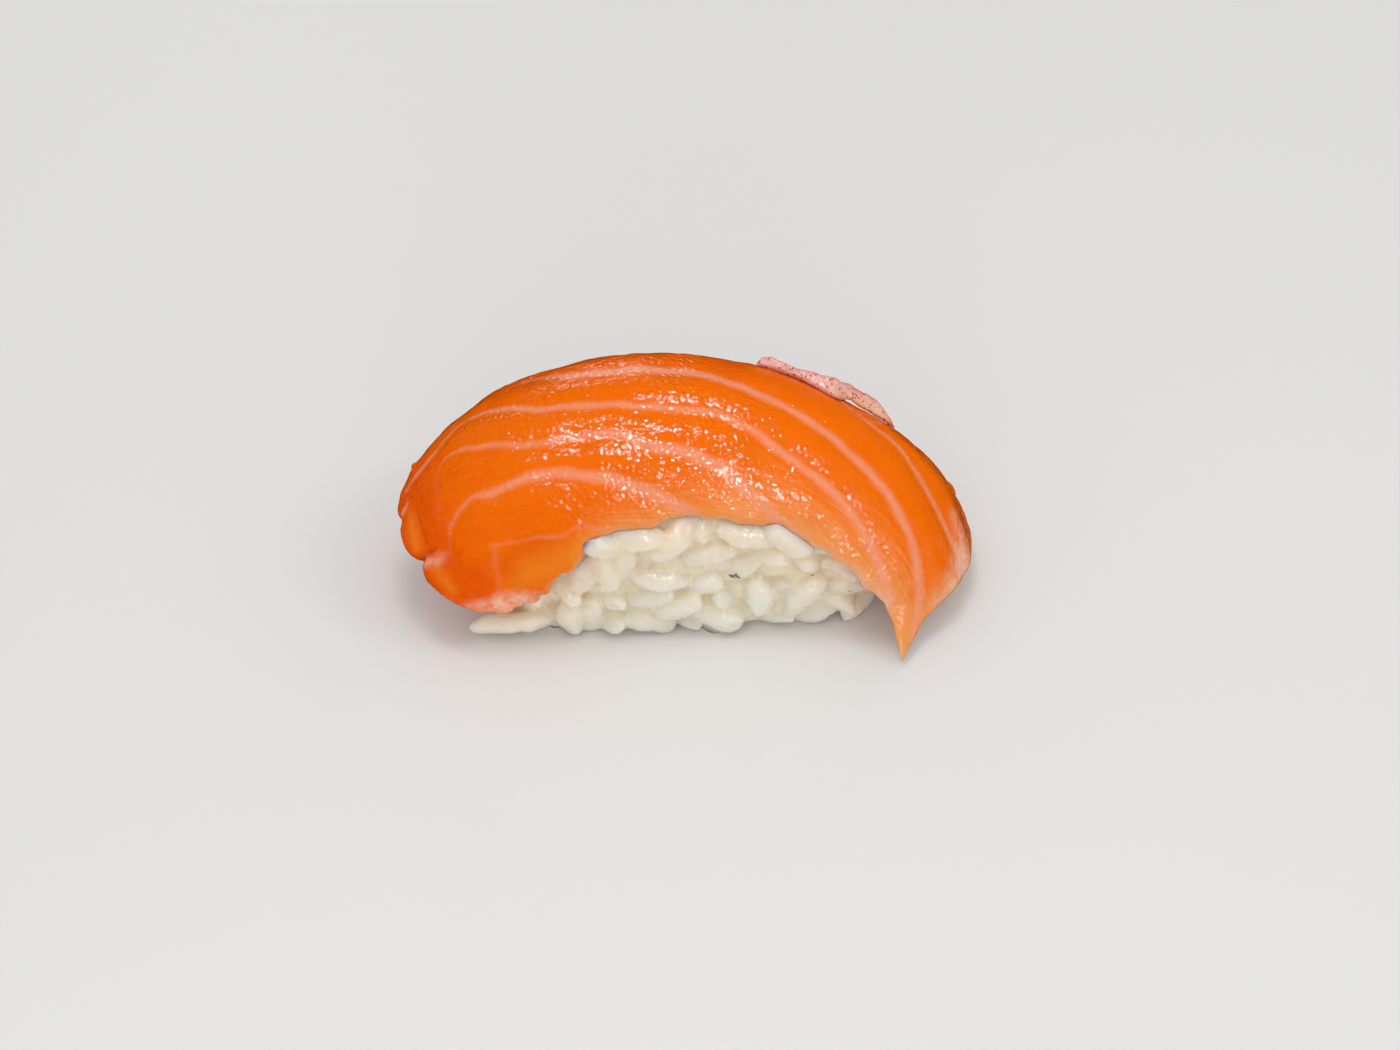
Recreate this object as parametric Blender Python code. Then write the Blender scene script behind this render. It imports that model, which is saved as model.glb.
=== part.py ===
"""Salmon nigiri: a hand-pressed finger of rice, a slice of raw salmon draped over it, and a shred of pink
trimming that clings to the back of the slice.

X runs along the rice, left to right. Y runs from the open front, where the rice shows, to the back. Z is up.
The origin is the bottom centre of the whole piece. Every size is in millimetres, and MM turns it into metres.
"""

import math

import bmesh
import bpy
import numpy as np
from mathutils import Vector

MM = 0.001

# The arch that the slice's crest follows over the rice: two quarter ellipses that meet at the highest point.
CREST_HEIGHT = 28.0
CREST_X = -3.0
LEFT_REACH, LEFT_DROP = 33.7, 24.0
RIGHT_REACH, RIGHT_DROP = 38.0, 28.0

# The slice, cut from the fillet at a slant: thick along its middle, thin along its front edge.
SLICE_THICKNESS = 6.2
FRONT_HALF_WIDTH = 15.0
BACK_DROP = 13.0
BACK_WRAP = 80.0
CREASE = 0.65
TIP_LENGTH = 4.6
TIP_REACH = Vector((0.0, -3.1, -1.5))

# The finger of rice: a rounded block, squarer along its length than a ball, with a flat foot.
RICE_HALF_LENGTH, RICE_HALF_WIDTH, RICE_HALF_HEIGHT = 24.3, 13.0, 15.5
RICE_CENTRE = (-0.4, -0.2, 7.0)
PLAN_SQUARENESS, UPRIGHT_SQUARENESS = 3.4, 4.0
GRAIN_LENGTH, GRAIN_WIDTH = 7.4, 3.5
GRAIN_BUMP = 1.5
STRAY_GRAIN = (-22.9, -11.2, 2.0)
GRAIN_COUNT = 190
GRAIN_SEED = 11

# Pieces that touch keep this much air between their solids.
GAP = 0.35

# The shred runs between two turns of the arch, and spreads back and a little up from its seat.
SHRED_TURNS = (19.0, 51.5)
SHRED_SEAT = 0.42
SHRED_THICKNESS = 0.7
SHRED_LEAN = Vector((0.0, 0.93, 0.37))
SHRED_FACE = Vector((0.0, -0.37, 0.93))

SLICE_SEGMENTS = (42, 27)
RICE_SUBDIVISIONS = 5


def profile(place, *points):
    """A smooth curve through (place, value) points that never overshoots them."""
    places, values = (np.array(column, float) for column in zip(*points))
    place = np.clip(place, places[0], places[-1])
    steps = np.diff(places)
    slopes = np.diff(values) / steps
    tangents = np.concatenate([slopes[:1], np.zeros(len(slopes) - 1), slopes[-1:]])
    same_way = slopes[:-1] * slopes[1:] > 0
    sums = np.where(same_way, slopes[:-1] + slopes[1:], 1.0)
    tangents[1:-1] = np.where(same_way, 2 * slopes[:-1] * slopes[1:] / sums, 0.0)
    i = np.clip(np.searchsorted(places, place, side="right") - 1, 0, len(steps) - 1)
    t = (place - places[i]) / steps[i]
    return (
        (1 + 2 * t) * (1 - t) ** 2 * values[i]
        + t * (1 - t) ** 2 * steps[i] * tangents[i]
        + t * t * (3 - 2 * t) * values[i + 1]
        + t * t * (t - 1) * steps[i] * tangents[i + 1]
    )


def crest(turn):
    """The crest's point (x, z) and its outward direction (x, z) at a turn along the arch, in degrees."""
    angle = np.radians(turn)
    reach = np.where(turn < 0, LEFT_REACH, RIGHT_REACH)
    drop = np.where(turn < 0, LEFT_DROP, RIGHT_DROP)
    x = CREST_X + reach * np.sin(angle)
    z = CREST_HEIGHT - drop + drop * np.cos(angle)
    out_x, out_z = np.sin(angle) / reach, np.cos(angle) / drop
    length = np.hypot(out_x, out_z)
    return x, z, out_x / length, out_z / length


def front_wrap(turn):
    """How far the slice wraps down the front of the rice, in degrees round its section: low at the left end,
    so that it hangs there, and high in the middle, where the rice shows."""
    return profile(
        turn,
        (-76, 82), (-60, 89), (-48, 91), (-34, 88), (-27, 82), (-20, 73), (-5, 71),
        (8, 67), (24, 67), (37, 70), (50, 76), (62, 79), (84, 84),
    )


def drape(turn, across):
    """The slice's outer surface. across runs from -1 at the front edge to 0 at the crest and 1 at the back."""
    turn, across = np.broadcast_arrays(np.asarray(turn, float), np.asarray(across, float))
    x, z, out_x, out_z = crest(turn)
    crest_y = profile(turn, (-76, 1), (-30, 1), (0, 2), (20, 1.5), (37, 0.5), (84, -1))
    front_drop = profile(turn, (-76, 12), (-50, 15), (5, 15), (37, 14), (60, 12.5), (84, 11))
    back_width = profile(
        turn, (-76, 9.5), (-62, 10.8), (-48, 13.8), (-30, 15.5), (0, 14.3), (37, 11.8), (60, 10.4), (84, 10)
    )
    front = across < 0
    half_width = np.where(front, -FRONT_HALF_WIDTH, back_width)
    drop = np.where(front, front_drop, BACK_DROP)
    wrap = np.where(front, front_wrap(turn), BACK_WRAP)
    y, sink = section(np.abs(across) * wrap, half_width, drop)

    # The knife left a flat facet down the left of the front, below a crease.
    facet = profile(turn, (-62, 0), (-48, 1), (-26, 1), (-12, 0)) * (across < -CREASE)
    past = np.clip((np.abs(across) - CREASE) / (1 - CREASE), 0, 1)
    y_crease, sink_crease = section(CREASE * wrap, half_width, drop)
    y_edge, sink_edge = section(wrap, half_width, drop)
    y += facet * (y_crease + past * (y_edge - y_crease) - y)
    sink += facet * (sink_crease + past * (sink_edge - sink_crease) - sink)
    return np.stack([x - sink * out_x, crest_y + y, z - sink * out_z], -1)


def section(degrees, half_width, drop):
    """Offset across and depth below the crest, at an angle round an elliptical section."""
    angle = np.radians(degrees)
    return half_width * np.sin(angle), drop * (1 - np.cos(angle))


def outward(turn, across):
    """The unit normal of the slice's outer surface."""
    step_turn, step_across = 0.4, 0.02
    inside = np.clip(across, -1 + step_across, 1 - step_across)
    along = drape(turn + step_turn, inside) - drape(turn - step_turn, inside)
    over = drape(turn, inside + step_across) - drape(turn, inside - step_across)
    normal = np.cross(along, over)
    return normal / np.linalg.norm(normal, axis=-1, keepdims=True)


def slice_ends(across):
    """The turns at which the slice ends on the left, in two lobes of muscle, and on the right."""
    left = profile(
        across,
        (-1, -70), (-0.92, -77.5), (-0.76, -79.5), (-0.58, -78.5), (-0.43, -73), (-0.3, -76.5),
        (-0.08, -75.5), (0.2, -71.5), (0.6, -68), (1, -58),
    )
    right = profile(across, (-1, 80.5), (-0.7, 80), (-0.5, 81), (-0.2, 84), (0.1, 85), (0.6, 81), (1, 70))
    return left, right


def arc_rates(turn, across):
    """Millimetres for each degree of turn and for each unit across."""
    step = 0.05
    along = np.linalg.norm(drape(turn + step, across) - drape(turn - step, across), axis=-1) / (2 * step)
    inside = np.clip(across, -1 + step, 1 - step)
    over = np.linalg.norm(drape(turn, inside + step) - drape(turn, inside - step), axis=-1) / (2 * step)
    return along, over


def rounded(distance, radius):
    """A quarter-round from 0 at an edge to 1 at radius from it."""
    short = 1 - np.clip(distance / radius, 0, 1)
    return np.sqrt(np.maximum(1 - short * short, 0))


def slice_surface(along, across, lower):
    """The slice's upper or lower face at along and across, each from -1 to 1. The two meet at every edge."""
    left, right = slice_ends(across)
    turn = left + (right - left) * (along + 1) / 2
    rate_along, rate_across = arc_rates(turn, across)
    from_left = (turn - left) * rate_along
    from_right = (right - turn) * rate_along
    from_front = (1 + across) * rate_across
    from_back = (1 - across) * rate_across

    thin_front = profile(turn, (-76, 0.92), (-30, 0.8), (-12, 0.34), (84, 0.3))
    taper = profile(from_front, (0, 0), (12, 1)) * (1 - thin_front) + thin_front
    taper *= profile(from_back, (0, 0.6), (9, 1)) * profile(from_right, (0, 0.55), (14, 1))
    from_tip = np.hypot(from_front, from_right)
    taper *= profile(from_tip, (0, 0.3), (8, 1))
    thickness = SLICE_THICKNESS * taper

    round_edge = (
        rounded(from_left, 3.2) * rounded(from_right, 1.6) * rounded(from_front, 1.5) * rounded(from_back, 2.4)
    )
    cut_slant = profile(from_left, (0, 0.8), (4, 0.5))
    depth = thickness * (cut_slant + (1 - cut_slant) * round_edge if lower else cut_slant * (1 - round_edge))

    pull = np.clip(1 - from_tip / TIP_LENGTH, 0, 1) ** 1.5
    return drape(turn, across) - depth[..., None] * outward(turn, across) + pull[..., None] * np.array(TIP_REACH)


def sheet(shape, lower, segments):
    """A grid of quads laid on one face of a slab. shape(along, across, lower) gives the points."""
    bm = bmesh.new()
    bmesh.ops.create_grid(bm, x_segments=segments[0], y_segments=segments[1], size=1.0)
    flat = np.array([v.co for v in bm.verts])
    # Rows crowd towards the edges, where the slab turns over.
    along, across = (1.25 * flat[:, k] - 0.25 * flat[:, k] ** 3 for k in (0, 1))
    for vertex, point in zip(bm.verts, shape(along, across, lower)):
        vertex.co = point * MM
    # A corner face splits at its middle, so that the two sheets stay apart right up to the corner.
    corners = [f for f in bm.faces if sum(e.is_boundary for e in f.edges) == 2]
    bmesh.ops.poke(bm, faces=corners)
    if lower:
        bmesh.ops.reverse_faces(bm, faces=bm.faces)
    mesh = bpy.data.meshes.new("sheet")
    bm.to_mesh(mesh)
    bm.free()
    return mesh


def slab(name, shape, segments):
    """A closed body: an upper and a lower sheet, welded along the edge that they share."""
    bm = bmesh.new()
    for lower in (False, True):
        half = sheet(shape, lower, segments)
        bm.from_mesh(half)
        bpy.data.meshes.remove(half)
    bmesh.ops.remove_doubles(bm, verts=bm.verts, dist=0.002 * MM)
    mesh = bpy.data.meshes.new(name)
    bm.to_mesh(mesh)
    bm.free()
    return bpy.data.objects.new(name, mesh)


def grain_bumps():
    """Where the surface grains lie: unit directions from the rice's centre, and the way each one points."""
    rng = np.random.default_rng(GRAIN_SEED)
    golden = math.pi * (3 - math.sqrt(5))
    rank = (np.arange(GRAIN_COUNT) + 0.5) / GRAIN_COUNT
    height = 1 - 2 * rank
    ring = np.sqrt(1 - height * height)
    around = golden * np.arange(GRAIN_COUNT)
    centres = np.stack([height, ring * np.cos(around), ring * np.sin(around)], -1)
    lie = rng.normal(size=centres.shape) * (1.3, 1.0, 0.8)
    return centres, lie


def rice_body(directions):
    """The pressed block: a point of its smooth outline in each direction, in millimetres from its centre."""
    plan = (np.abs(directions[:, :2] / (RICE_HALF_LENGTH, RICE_HALF_WIDTH)) ** PLAN_SQUARENESS).sum(1)
    upright = np.abs(directions[:, 2] / RICE_HALF_HEIGHT) ** UPRIGHT_SQUARENESS
    reach = plan ** (UPRIGHT_SQUARENESS / PLAN_SQUARENESS) + upright
    return directions / reach[:, None] ** (1 / UPRIGHT_SQUARENESS)


def rice_mound():
    """The rice out to its uneven outline of grains, cut flat at the foot."""
    size = np.array([RICE_HALF_LENGTH, RICE_HALF_WIDTH, RICE_HALF_HEIGHT])
    bm = bmesh.new()
    bmesh.ops.create_icosphere(bm, subdivisions=RICE_SUBDIVISIONS, radius=1.0)
    # The block is long, so the directions are spread along it before they are cast.
    directions = np.array([v.co for v in bm.verts]) * size
    directions /= np.linalg.norm(directions, axis=1, keepdims=True)
    smooth = rice_body(directions)
    centres, lies = grain_bumps()
    bump = np.zeros(len(smooth))
    for seat, lie in zip(rice_body(centres * size), lies):
        outward = seat / np.linalg.norm(seat)
        lie = lie - outward * (lie @ outward)
        lie /= np.linalg.norm(lie)
        offset = smooth - seat
        lengthways = offset @ lie / (GRAIN_LENGTH / 2)
        beside = offset @ np.cross(outward, lie) / (GRAIN_WIDTH / 2)
        dome = np.sqrt(np.clip(1 - lengthways**2 - beside**2, 0, 1))
        bump = np.maximum(bump, dome)
    points = smooth + directions * ((bump - 1) * GRAIN_BUMP)[:, None] + RICE_CENTRE
    for vertex, point in zip(bm.verts, points):
        vertex.co = point * MM

    everything = bm.verts[:] + bm.edges[:] + bm.faces[:]
    bmesh.ops.bisect_plane(bm, geom=everything, plane_co=(0, 0, 0), plane_no=(0, 0, 1), clear_inner=True)
    bmesh.ops.holes_fill(bm, edges=[e for e in bm.edges if e.is_boundary], sides=0)
    mesh = bpy.data.meshes.new("rice_mound")
    bm.to_mesh(mesh)
    bm.free()
    return bpy.data.objects.new("rice_mound", mesh)


def stray_grain():
    """One grain that has slipped out at the left of the foot, lying along the block."""
    bm = bmesh.new()
    bmesh.ops.create_uvsphere(bm, u_segments=12, v_segments=8, radius=0.5)
    for vertex in bm.verts:
        stretched = vertex.co * Vector((GRAIN_LENGTH, 0.8 * GRAIN_WIDTH, 0.7 * GRAIN_WIDTH))
        vertex.co = (stretched + Vector(STRAY_GRAIN)) * MM
    mesh = bpy.data.meshes.new("stray_grain")
    bm.to_mesh(mesh)
    bm.free()
    return bpy.data.objects.new("stray_grain", mesh)


def combine(target, operation, tool, tools):
    """A Boolean on target. The tool goes in its own collection and isn't part of the model."""
    tool.hide_render = True
    tool.display_type = "WIRE"
    tools.objects.link(tool)
    boolean = target.modifiers.new(tool.name, "BOOLEAN")
    boolean.operation = operation
    boolean.object = tool
    boolean.use_self = True


def room_for(piece):
    """The piece swollen by GAP, to cut its neighbour with."""
    swollen = bpy.data.objects.new("room_for_" + piece.name, piece.data)
    swell = swollen.modifiers.new("swell", "DISPLACE")
    swell.strength = GAP * MM
    swell.mid_level = 0.0
    return swollen


def shred_surface(along, across, lower):
    """The pink shred: a thin ragged strip along the back shoulder of the slice. It lies close at the left and
    lifts clear towards the right."""
    start, end = SHRED_TURNS
    turn = start + (end - start) * (along + 1) / 2
    width = profile(
        along,
        (-1, 0.3), (-0.75, 1.5), (-0.55, 1.2), (-0.2, 1.6), (0.06, 2.3), (0.34, 2), (0.66, 2.6), (0.8, 1.8), (1, 0.3),
    )
    width *= 1 + 0.06 * np.sin(23 * along)
    lift = profile(along, (-1, 0), (0.25, 0), (0.55, 0.5), (1, 0.4))
    seat = drape(turn, SHRED_SEAT) + (GAP + lift)[..., None] * outward(turn, SHRED_SEAT)
    thickness = SHRED_THICKNESS * rounded(1 - np.abs(across), 0.5) * rounded(1 - np.abs(along), 0.1)
    spread = width * (across + 1) / 2
    rise = (-0.5 if lower else 0.5) * thickness + 0.12 * np.sin(7 * along)
    return seat + spread[..., None] * np.array(SHRED_LEAN) + rise[..., None] * np.array(SHRED_FACE)


def finish(obj, collection, base_colour, roughness, coat):
    """Names the material after the piece, shades it smooth and links it."""
    material = bpy.data.materials.new(obj.name)
    material.use_nodes = True
    shader = material.node_tree.nodes["Principled BSDF"]
    shader.inputs["Base Color"].default_value = (*base_colour, 1.0)
    shader.inputs["Roughness"].default_value = roughness
    shader.inputs["Metallic"].default_value = 0.0
    shader.inputs["Coat Weight"].default_value = coat
    obj.data.materials.append(material)
    obj.data.shade_smooth()
    collection.objects.link(obj)


def centre_on_origin(pieces):
    """Shifts every piece so that the whole stands on Z = 0 with its box's middle over the origin."""
    corners = np.concatenate([[v.co for v in piece.data.vertices] for piece in pieces])
    low, high = corners.min(0), corners.max(0)
    shift = Vector((-(low[0] + high[0]) / 2, -(low[1] + high[1]) / 2, -low[2]))
    for piece in pieces:
        for vertex in piece.data.vertices:
            vertex.co += shift


def main():
    for obj in list(bpy.data.objects):
        bpy.data.objects.remove(obj)
    nigiri = bpy.data.collections.new("salmon nigiri")
    tools = bpy.data.collections.new("cutters")
    bpy.context.scene.collection.children.link(nigiri)
    bpy.context.scene.collection.children.link(tools)

    salmon = slab("salmon_slice", slice_surface, SLICE_SEGMENTS)
    rice = rice_mound()
    shred = slab("pink_shred", shred_surface, (24, 6))
    stray = stray_grain()
    centre_on_origin((salmon, rice, shred, stray))
    combine(rice, "UNION", stray, tools)
    combine(rice, "DIFFERENCE", room_for(salmon), tools)
    finish(salmon, nigiri, (0.86, 0.20, 0.01), 0.25, 0.6)
    finish(rice, nigiri, (0.75, 0.70, 0.58), 0.35, 0.2)
    finish(shred, nigiri, (0.80, 0.42, 0.33), 0.4, 0.3)


main()
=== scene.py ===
import math

import bmesh
import bpy
import numpy as np
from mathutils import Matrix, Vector, noise
from mathutils.bvhtree import BVHTree


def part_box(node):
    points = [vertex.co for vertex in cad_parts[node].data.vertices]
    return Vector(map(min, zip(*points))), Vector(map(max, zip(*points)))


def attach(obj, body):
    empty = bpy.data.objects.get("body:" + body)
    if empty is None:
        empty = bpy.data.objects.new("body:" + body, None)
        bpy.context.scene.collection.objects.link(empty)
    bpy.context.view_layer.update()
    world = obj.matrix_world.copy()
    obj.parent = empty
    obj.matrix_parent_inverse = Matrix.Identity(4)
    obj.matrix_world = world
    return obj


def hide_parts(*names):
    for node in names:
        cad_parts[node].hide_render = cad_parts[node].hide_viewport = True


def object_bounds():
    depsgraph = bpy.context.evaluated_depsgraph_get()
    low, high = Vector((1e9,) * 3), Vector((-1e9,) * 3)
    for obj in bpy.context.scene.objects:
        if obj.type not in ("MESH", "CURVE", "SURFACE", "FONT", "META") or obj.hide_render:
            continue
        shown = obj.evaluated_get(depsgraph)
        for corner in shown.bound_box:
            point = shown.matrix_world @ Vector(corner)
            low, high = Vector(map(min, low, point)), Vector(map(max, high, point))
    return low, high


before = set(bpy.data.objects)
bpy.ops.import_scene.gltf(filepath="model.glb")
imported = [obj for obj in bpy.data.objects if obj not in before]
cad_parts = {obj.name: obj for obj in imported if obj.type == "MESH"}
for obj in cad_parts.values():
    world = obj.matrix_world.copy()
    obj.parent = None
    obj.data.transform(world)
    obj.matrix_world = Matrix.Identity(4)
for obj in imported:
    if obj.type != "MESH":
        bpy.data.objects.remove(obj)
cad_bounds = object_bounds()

# Lengths are in millimetres until they go into a mesh, and MM turns them into metres. X runs along the
# rice, left to right. Y runs from the open front, where the rice shows, to the back. Z is up.
MM = 0.001

# --------------------------------------------------------------------------------------------------------
# The slice of raw salmon, cut from the fillet at a slant: thick along its middle, thin along its front
# edge. It is draped over the rice, pressed on by hand, and held by its own moisture. Seams of fat part
# the muscle.

CREST_HEIGHT = 28.0
CREST_X = -3.0
LEFT_REACH, LEFT_DROP = 33.7, 24.0
RIGHT_REACH, RIGHT_DROP = 38.0, 28.0
SLICE_THICKNESS = 6.2
FRONT_HALF_WIDTH = 15.0
BACK_DROP = 13.0
BACK_WRAP = 80.0
CREASE = 0.65
TIP_LENGTH = 4.6
TIP_REACH = (0.0, -3.1, -1.5)
SLICE_SEGMENTS = (262, 170)
LEFT_ROUND, RIGHT_ROUND, FRONT_ROUND, BACK_ROUND = 3.2, 1.6, 1.5, 2.4
EDGE_WAVE = 0.012
EDGE_CLING = 0.25
SEAM_RISE = 0.15
SEAM_STEPS = 24


def profile(place, *points):
    """A smooth curve through (place, value) points that never overshoots them."""
    places, values = (np.array(column, float) for column in zip(*points))
    place = np.clip(place, places[0], places[-1])
    steps = np.diff(places)
    slopes = np.diff(values) / steps
    tangents = np.concatenate([slopes[:1], np.zeros(len(slopes) - 1), slopes[-1:]])
    same_way = slopes[:-1] * slopes[1:] > 0
    sums = np.where(same_way, slopes[:-1] + slopes[1:], 1.0)
    tangents[1:-1] = np.where(same_way, 2 * slopes[:-1] * slopes[1:] / sums, 0.0)
    i = np.clip(np.searchsorted(places, place, side="right") - 1, 0, len(steps) - 1)
    t = (place - places[i]) / steps[i]
    return (
        (1 + 2 * t) * (1 - t) ** 2 * values[i]
        + t * (1 - t) ** 2 * steps[i] * tangents[i]
        + t * t * (3 - 2 * t) * values[i + 1]
        + t * t * (t - 1) * steps[i] * tangents[i + 1]
    )


def crest(turn):
    """The crest's point (x, z) and its outward direction (x, z) at a turn along the arch, in degrees."""
    angle = np.radians(turn)
    reach = np.where(turn < 0, LEFT_REACH, RIGHT_REACH)
    drop = np.where(turn < 0, LEFT_DROP, RIGHT_DROP)
    x = CREST_X + reach * np.sin(angle)
    z = CREST_HEIGHT - drop + drop * np.cos(angle)
    out_x, out_z = np.sin(angle) / reach, np.cos(angle) / drop
    length = np.hypot(out_x, out_z)
    return x, z, out_x / length, out_z / length


def front_wrap(turn):
    """How far the slice wraps down the front of the rice, in degrees round its section."""
    return profile(
        turn,
        (-76, 86), (-64, 93), (-55, 93), (-48, 92), (-34, 88), (-27, 82), (-20, 73), (-5, 71),
        (8, 67), (24, 67), (37, 70), (50, 76), (62, 79), (84, 84),
    )


def section(degrees, half_width, drop):
    """Offset across and depth below the crest, at an angle round an elliptical section."""
    angle = np.radians(degrees)
    return half_width * np.sin(angle), drop * (1 - np.cos(angle))


def drape(turn, across):
    """The slice's outer surface. across is -1 at the front edge, 0 at the crest and 1 at the back."""
    turn, across = np.broadcast_arrays(np.asarray(turn, float), np.asarray(across, float))
    x, z, out_x, out_z = crest(turn)
    crest_y = profile(turn, (-76, 1), (-30, 1), (0, 2), (20, 1.5), (37, 0.5), (84, -1))
    front_drop = profile(turn, (-76, 12), (-50, 15), (5, 15), (37, 14), (60, 12.5), (84, 11))
    back_width = profile(
        turn,
        (-76, 9.5), (-62, 10.8), (-48, 13.8), (-30, 15.5), (0, 14.3), (37, 11.8), (60, 10.4), (84, 10),
    )
    front = across < 0
    half_width = np.where(front, -FRONT_HALF_WIDTH, back_width)
    drop = np.where(front, front_drop, BACK_DROP)
    wrap = np.where(front, front_wrap(turn), BACK_WRAP)
    y, sink = section(np.abs(across) * wrap, half_width, drop)

    # The knife left a flat facet down the left of the front, below a crease.
    facet = profile(turn, (-62, 0), (-48, 1), (-26, 1), (-12, 0)) * (across < -CREASE)
    past = np.clip((np.abs(across) - CREASE) / (1 - CREASE), 0, 1)
    y_crease, sink_crease = section(CREASE * wrap, half_width, drop)
    y_edge, sink_edge = section(wrap, half_width, drop)
    y += facet * (y_crease + past * (y_edge - y_crease) - y)
    sink += facet * (sink_crease + past * (sink_edge - sink_crease) - sink)
    return np.stack([x - sink * out_x, crest_y + y, z - sink * out_z], -1)


def outward(turn, across):
    """The unit normal of the slice's outer surface."""
    step_turn, step_across = 0.4, 0.02
    inside = np.clip(across, -1 + step_across, 1 - step_across)
    along = drape(turn + step_turn, inside) - drape(turn - step_turn, inside)
    over = drape(turn, inside + step_across) - drape(turn, inside - step_across)
    normal = np.cross(along, over)
    return normal / np.linalg.norm(normal, axis=-1, keepdims=True)


def slice_ends(across):
    """The turns where the slice ends, on the left in lobes that a notch and a membrane part."""
    left = profile(
        across,
        (-1, -74), (-0.92, -80), (-0.76, -81.5), (-0.58, -80.5), (-0.46, -77), (-0.43, -74),
        (-0.4, -76.5), (-0.3, -78.2), (-0.2, -77.8), (-0.13, -75.4), (-0.06, -77), (0.02, -75.5),
        (0.12, -73), (0.2, -71.5), (0.6, -68), (1, -58),
    )
    right = profile(across, (-1, 80.5), (-0.7, 80), (-0.5, 81), (-0.2, 84), (0.1, 85), (0.6, 81), (1, 70))
    return left, right


def arc_rates(turn, across):
    """Millimetres for each degree of turn and for each unit across."""
    step = 0.05
    along = drape(turn + step, across) - drape(turn - step, across)
    inside = np.clip(across, -1 + step, 1 - step)
    over = drape(turn, inside + step) - drape(turn, inside - step)
    return tuple(np.linalg.norm(move, axis=-1) / (2 * step) for move in (along, over))


def rounded(distance, radius):
    """A quarter-round from 0 at an edge to 1 at radius from it."""
    short = 1 - np.clip(distance / radius, 0, 1)
    return np.sqrt(np.maximum(1 - short * short, 0))


def slice_place(along, across):
    """The turn at along and across, each from -1 to 1, and the distances to the slice's four edges."""
    left, right = slice_ends(across)
    turn = left + (right - left) * (along + 1) / 2
    rate_along, rate_across = arc_rates(turn, across)
    from_left = (turn - left) * rate_along
    from_right = (right - turn) * rate_along
    from_front = (1 + across) * rate_across
    from_back = (1 - across) * rate_across
    return turn, from_left, from_right, from_front, from_back


def slice_surface(along, across, lower):
    """The slice's upper or lower face, before its fine relief. The two meet at every edge."""
    turn, from_left, from_right, from_front, from_back = slice_place(along, across)
    thin_front = profile(turn, (-76, 0.92), (-30, 0.8), (-12, 0.34), (84, 0.3))
    taper = profile(from_front, (0, 0), (12, 1)) * (1 - thin_front) + thin_front
    taper *= profile(from_back, (0, 0.6), (9, 1)) * profile(from_right, (0, 0.55), (14, 1))
    from_tip = np.hypot(from_front, from_right)
    taper *= profile(from_tip, (0, 0.3), (8, 1))
    thickness = SLICE_THICKNESS * taper

    round_edge = rounded(from_left, LEFT_ROUND) * rounded(from_right, RIGHT_ROUND)
    round_edge = round_edge * rounded(from_front, FRONT_ROUND) * rounded(from_back, BACK_ROUND)
    cut_slant = profile(from_left, (0, 0.8), (4, 0.5))
    # Where the front edge crosses the rice it is pressed flat on it.
    pressed = profile(turn, (-66, 0), (-54, 1), (52, 1), (62, 0))
    cut_slant = np.maximum(cut_slant, profile(from_front, (0, 0.97), (3, 0.5)) * pressed)
    if lower:
        depth = thickness * (cut_slant + (1 - cut_slant) * round_edge)
    else:
        depth = thickness * (cut_slant * (1 - round_edge))

    # The front edge is ragged: it wanders a little across the slice.
    near_front = np.clip((-across - 0.85) / 0.15, 0, 1)
    wander = np.sin(0.31 * turn) + 0.8 * np.sin(0.53 * turn + 1) + 0.5 * np.sin(0.97 * turn + 2)
    wander = wander + np.sin(0.8 * turn + 0.6) * profile(turn, (-66, 1.2), (-44, 1.0), (-36, 0))
    place = across + EDGE_WAVE * wander * near_front * np.clip(from_right / 6, 0, 1)
    depth = depth + EDGE_CLING * profile(from_front, (0, 1), (4, 0)) * pressed
    # The front right corner is drawn out to a point.
    pull = np.clip(1 - from_tip / TIP_LENGTH, 0, 1)[..., None] ** 1.5
    return drape(turn, place) - depth[..., None] * outward(turn, across) + pull * np.array(TIP_REACH)


def smooth_line(points):
    """A Catmull-Rom line through given points, in short steps."""
    points = np.array(points, float)
    first, last = 2 * points[0] - points[1], 2 * points[-1] - points[-2]
    knots = np.concatenate([[first], points, [last]])
    t = np.linspace(0, 1, SEAM_STEPS, endpoint=False)[:, None]
    spans = [
        b + ((c - a) * t + (2 * a - 5 * b + 4 * c - d) * t**2 + (3 * b - a - 3 * c + d) * t**3) / 2
        for a, b, c, d in zip(knots, knots[1:], knots[2:], knots[3:])
    ]
    return np.concatenate(spans)


def line_distance(surface, points):
    """How far each place is from a line of (turn, across, half width) points, and its half width."""
    line = smooth_line(points)
    path = drape(line[:, 0], line[:, 1])
    squared = (surface**2).sum(1)[:, None] + (path**2).sum(1) - 2 * surface @ path.T
    nearest = squared.argmin(1)
    least = squared[np.arange(len(surface)), nearest]
    return np.sqrt(np.maximum(least, 0)), line[nearest, 2]


def line_cover(surface, points, softness):
    """How much such a line covers each place: 1 on it, 0 beyond its soft border."""
    distance, half_width = line_distance(surface, points)
    return np.clip(0.5 + (half_width - distance) / (2 * softness), 0, 1)


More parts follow.
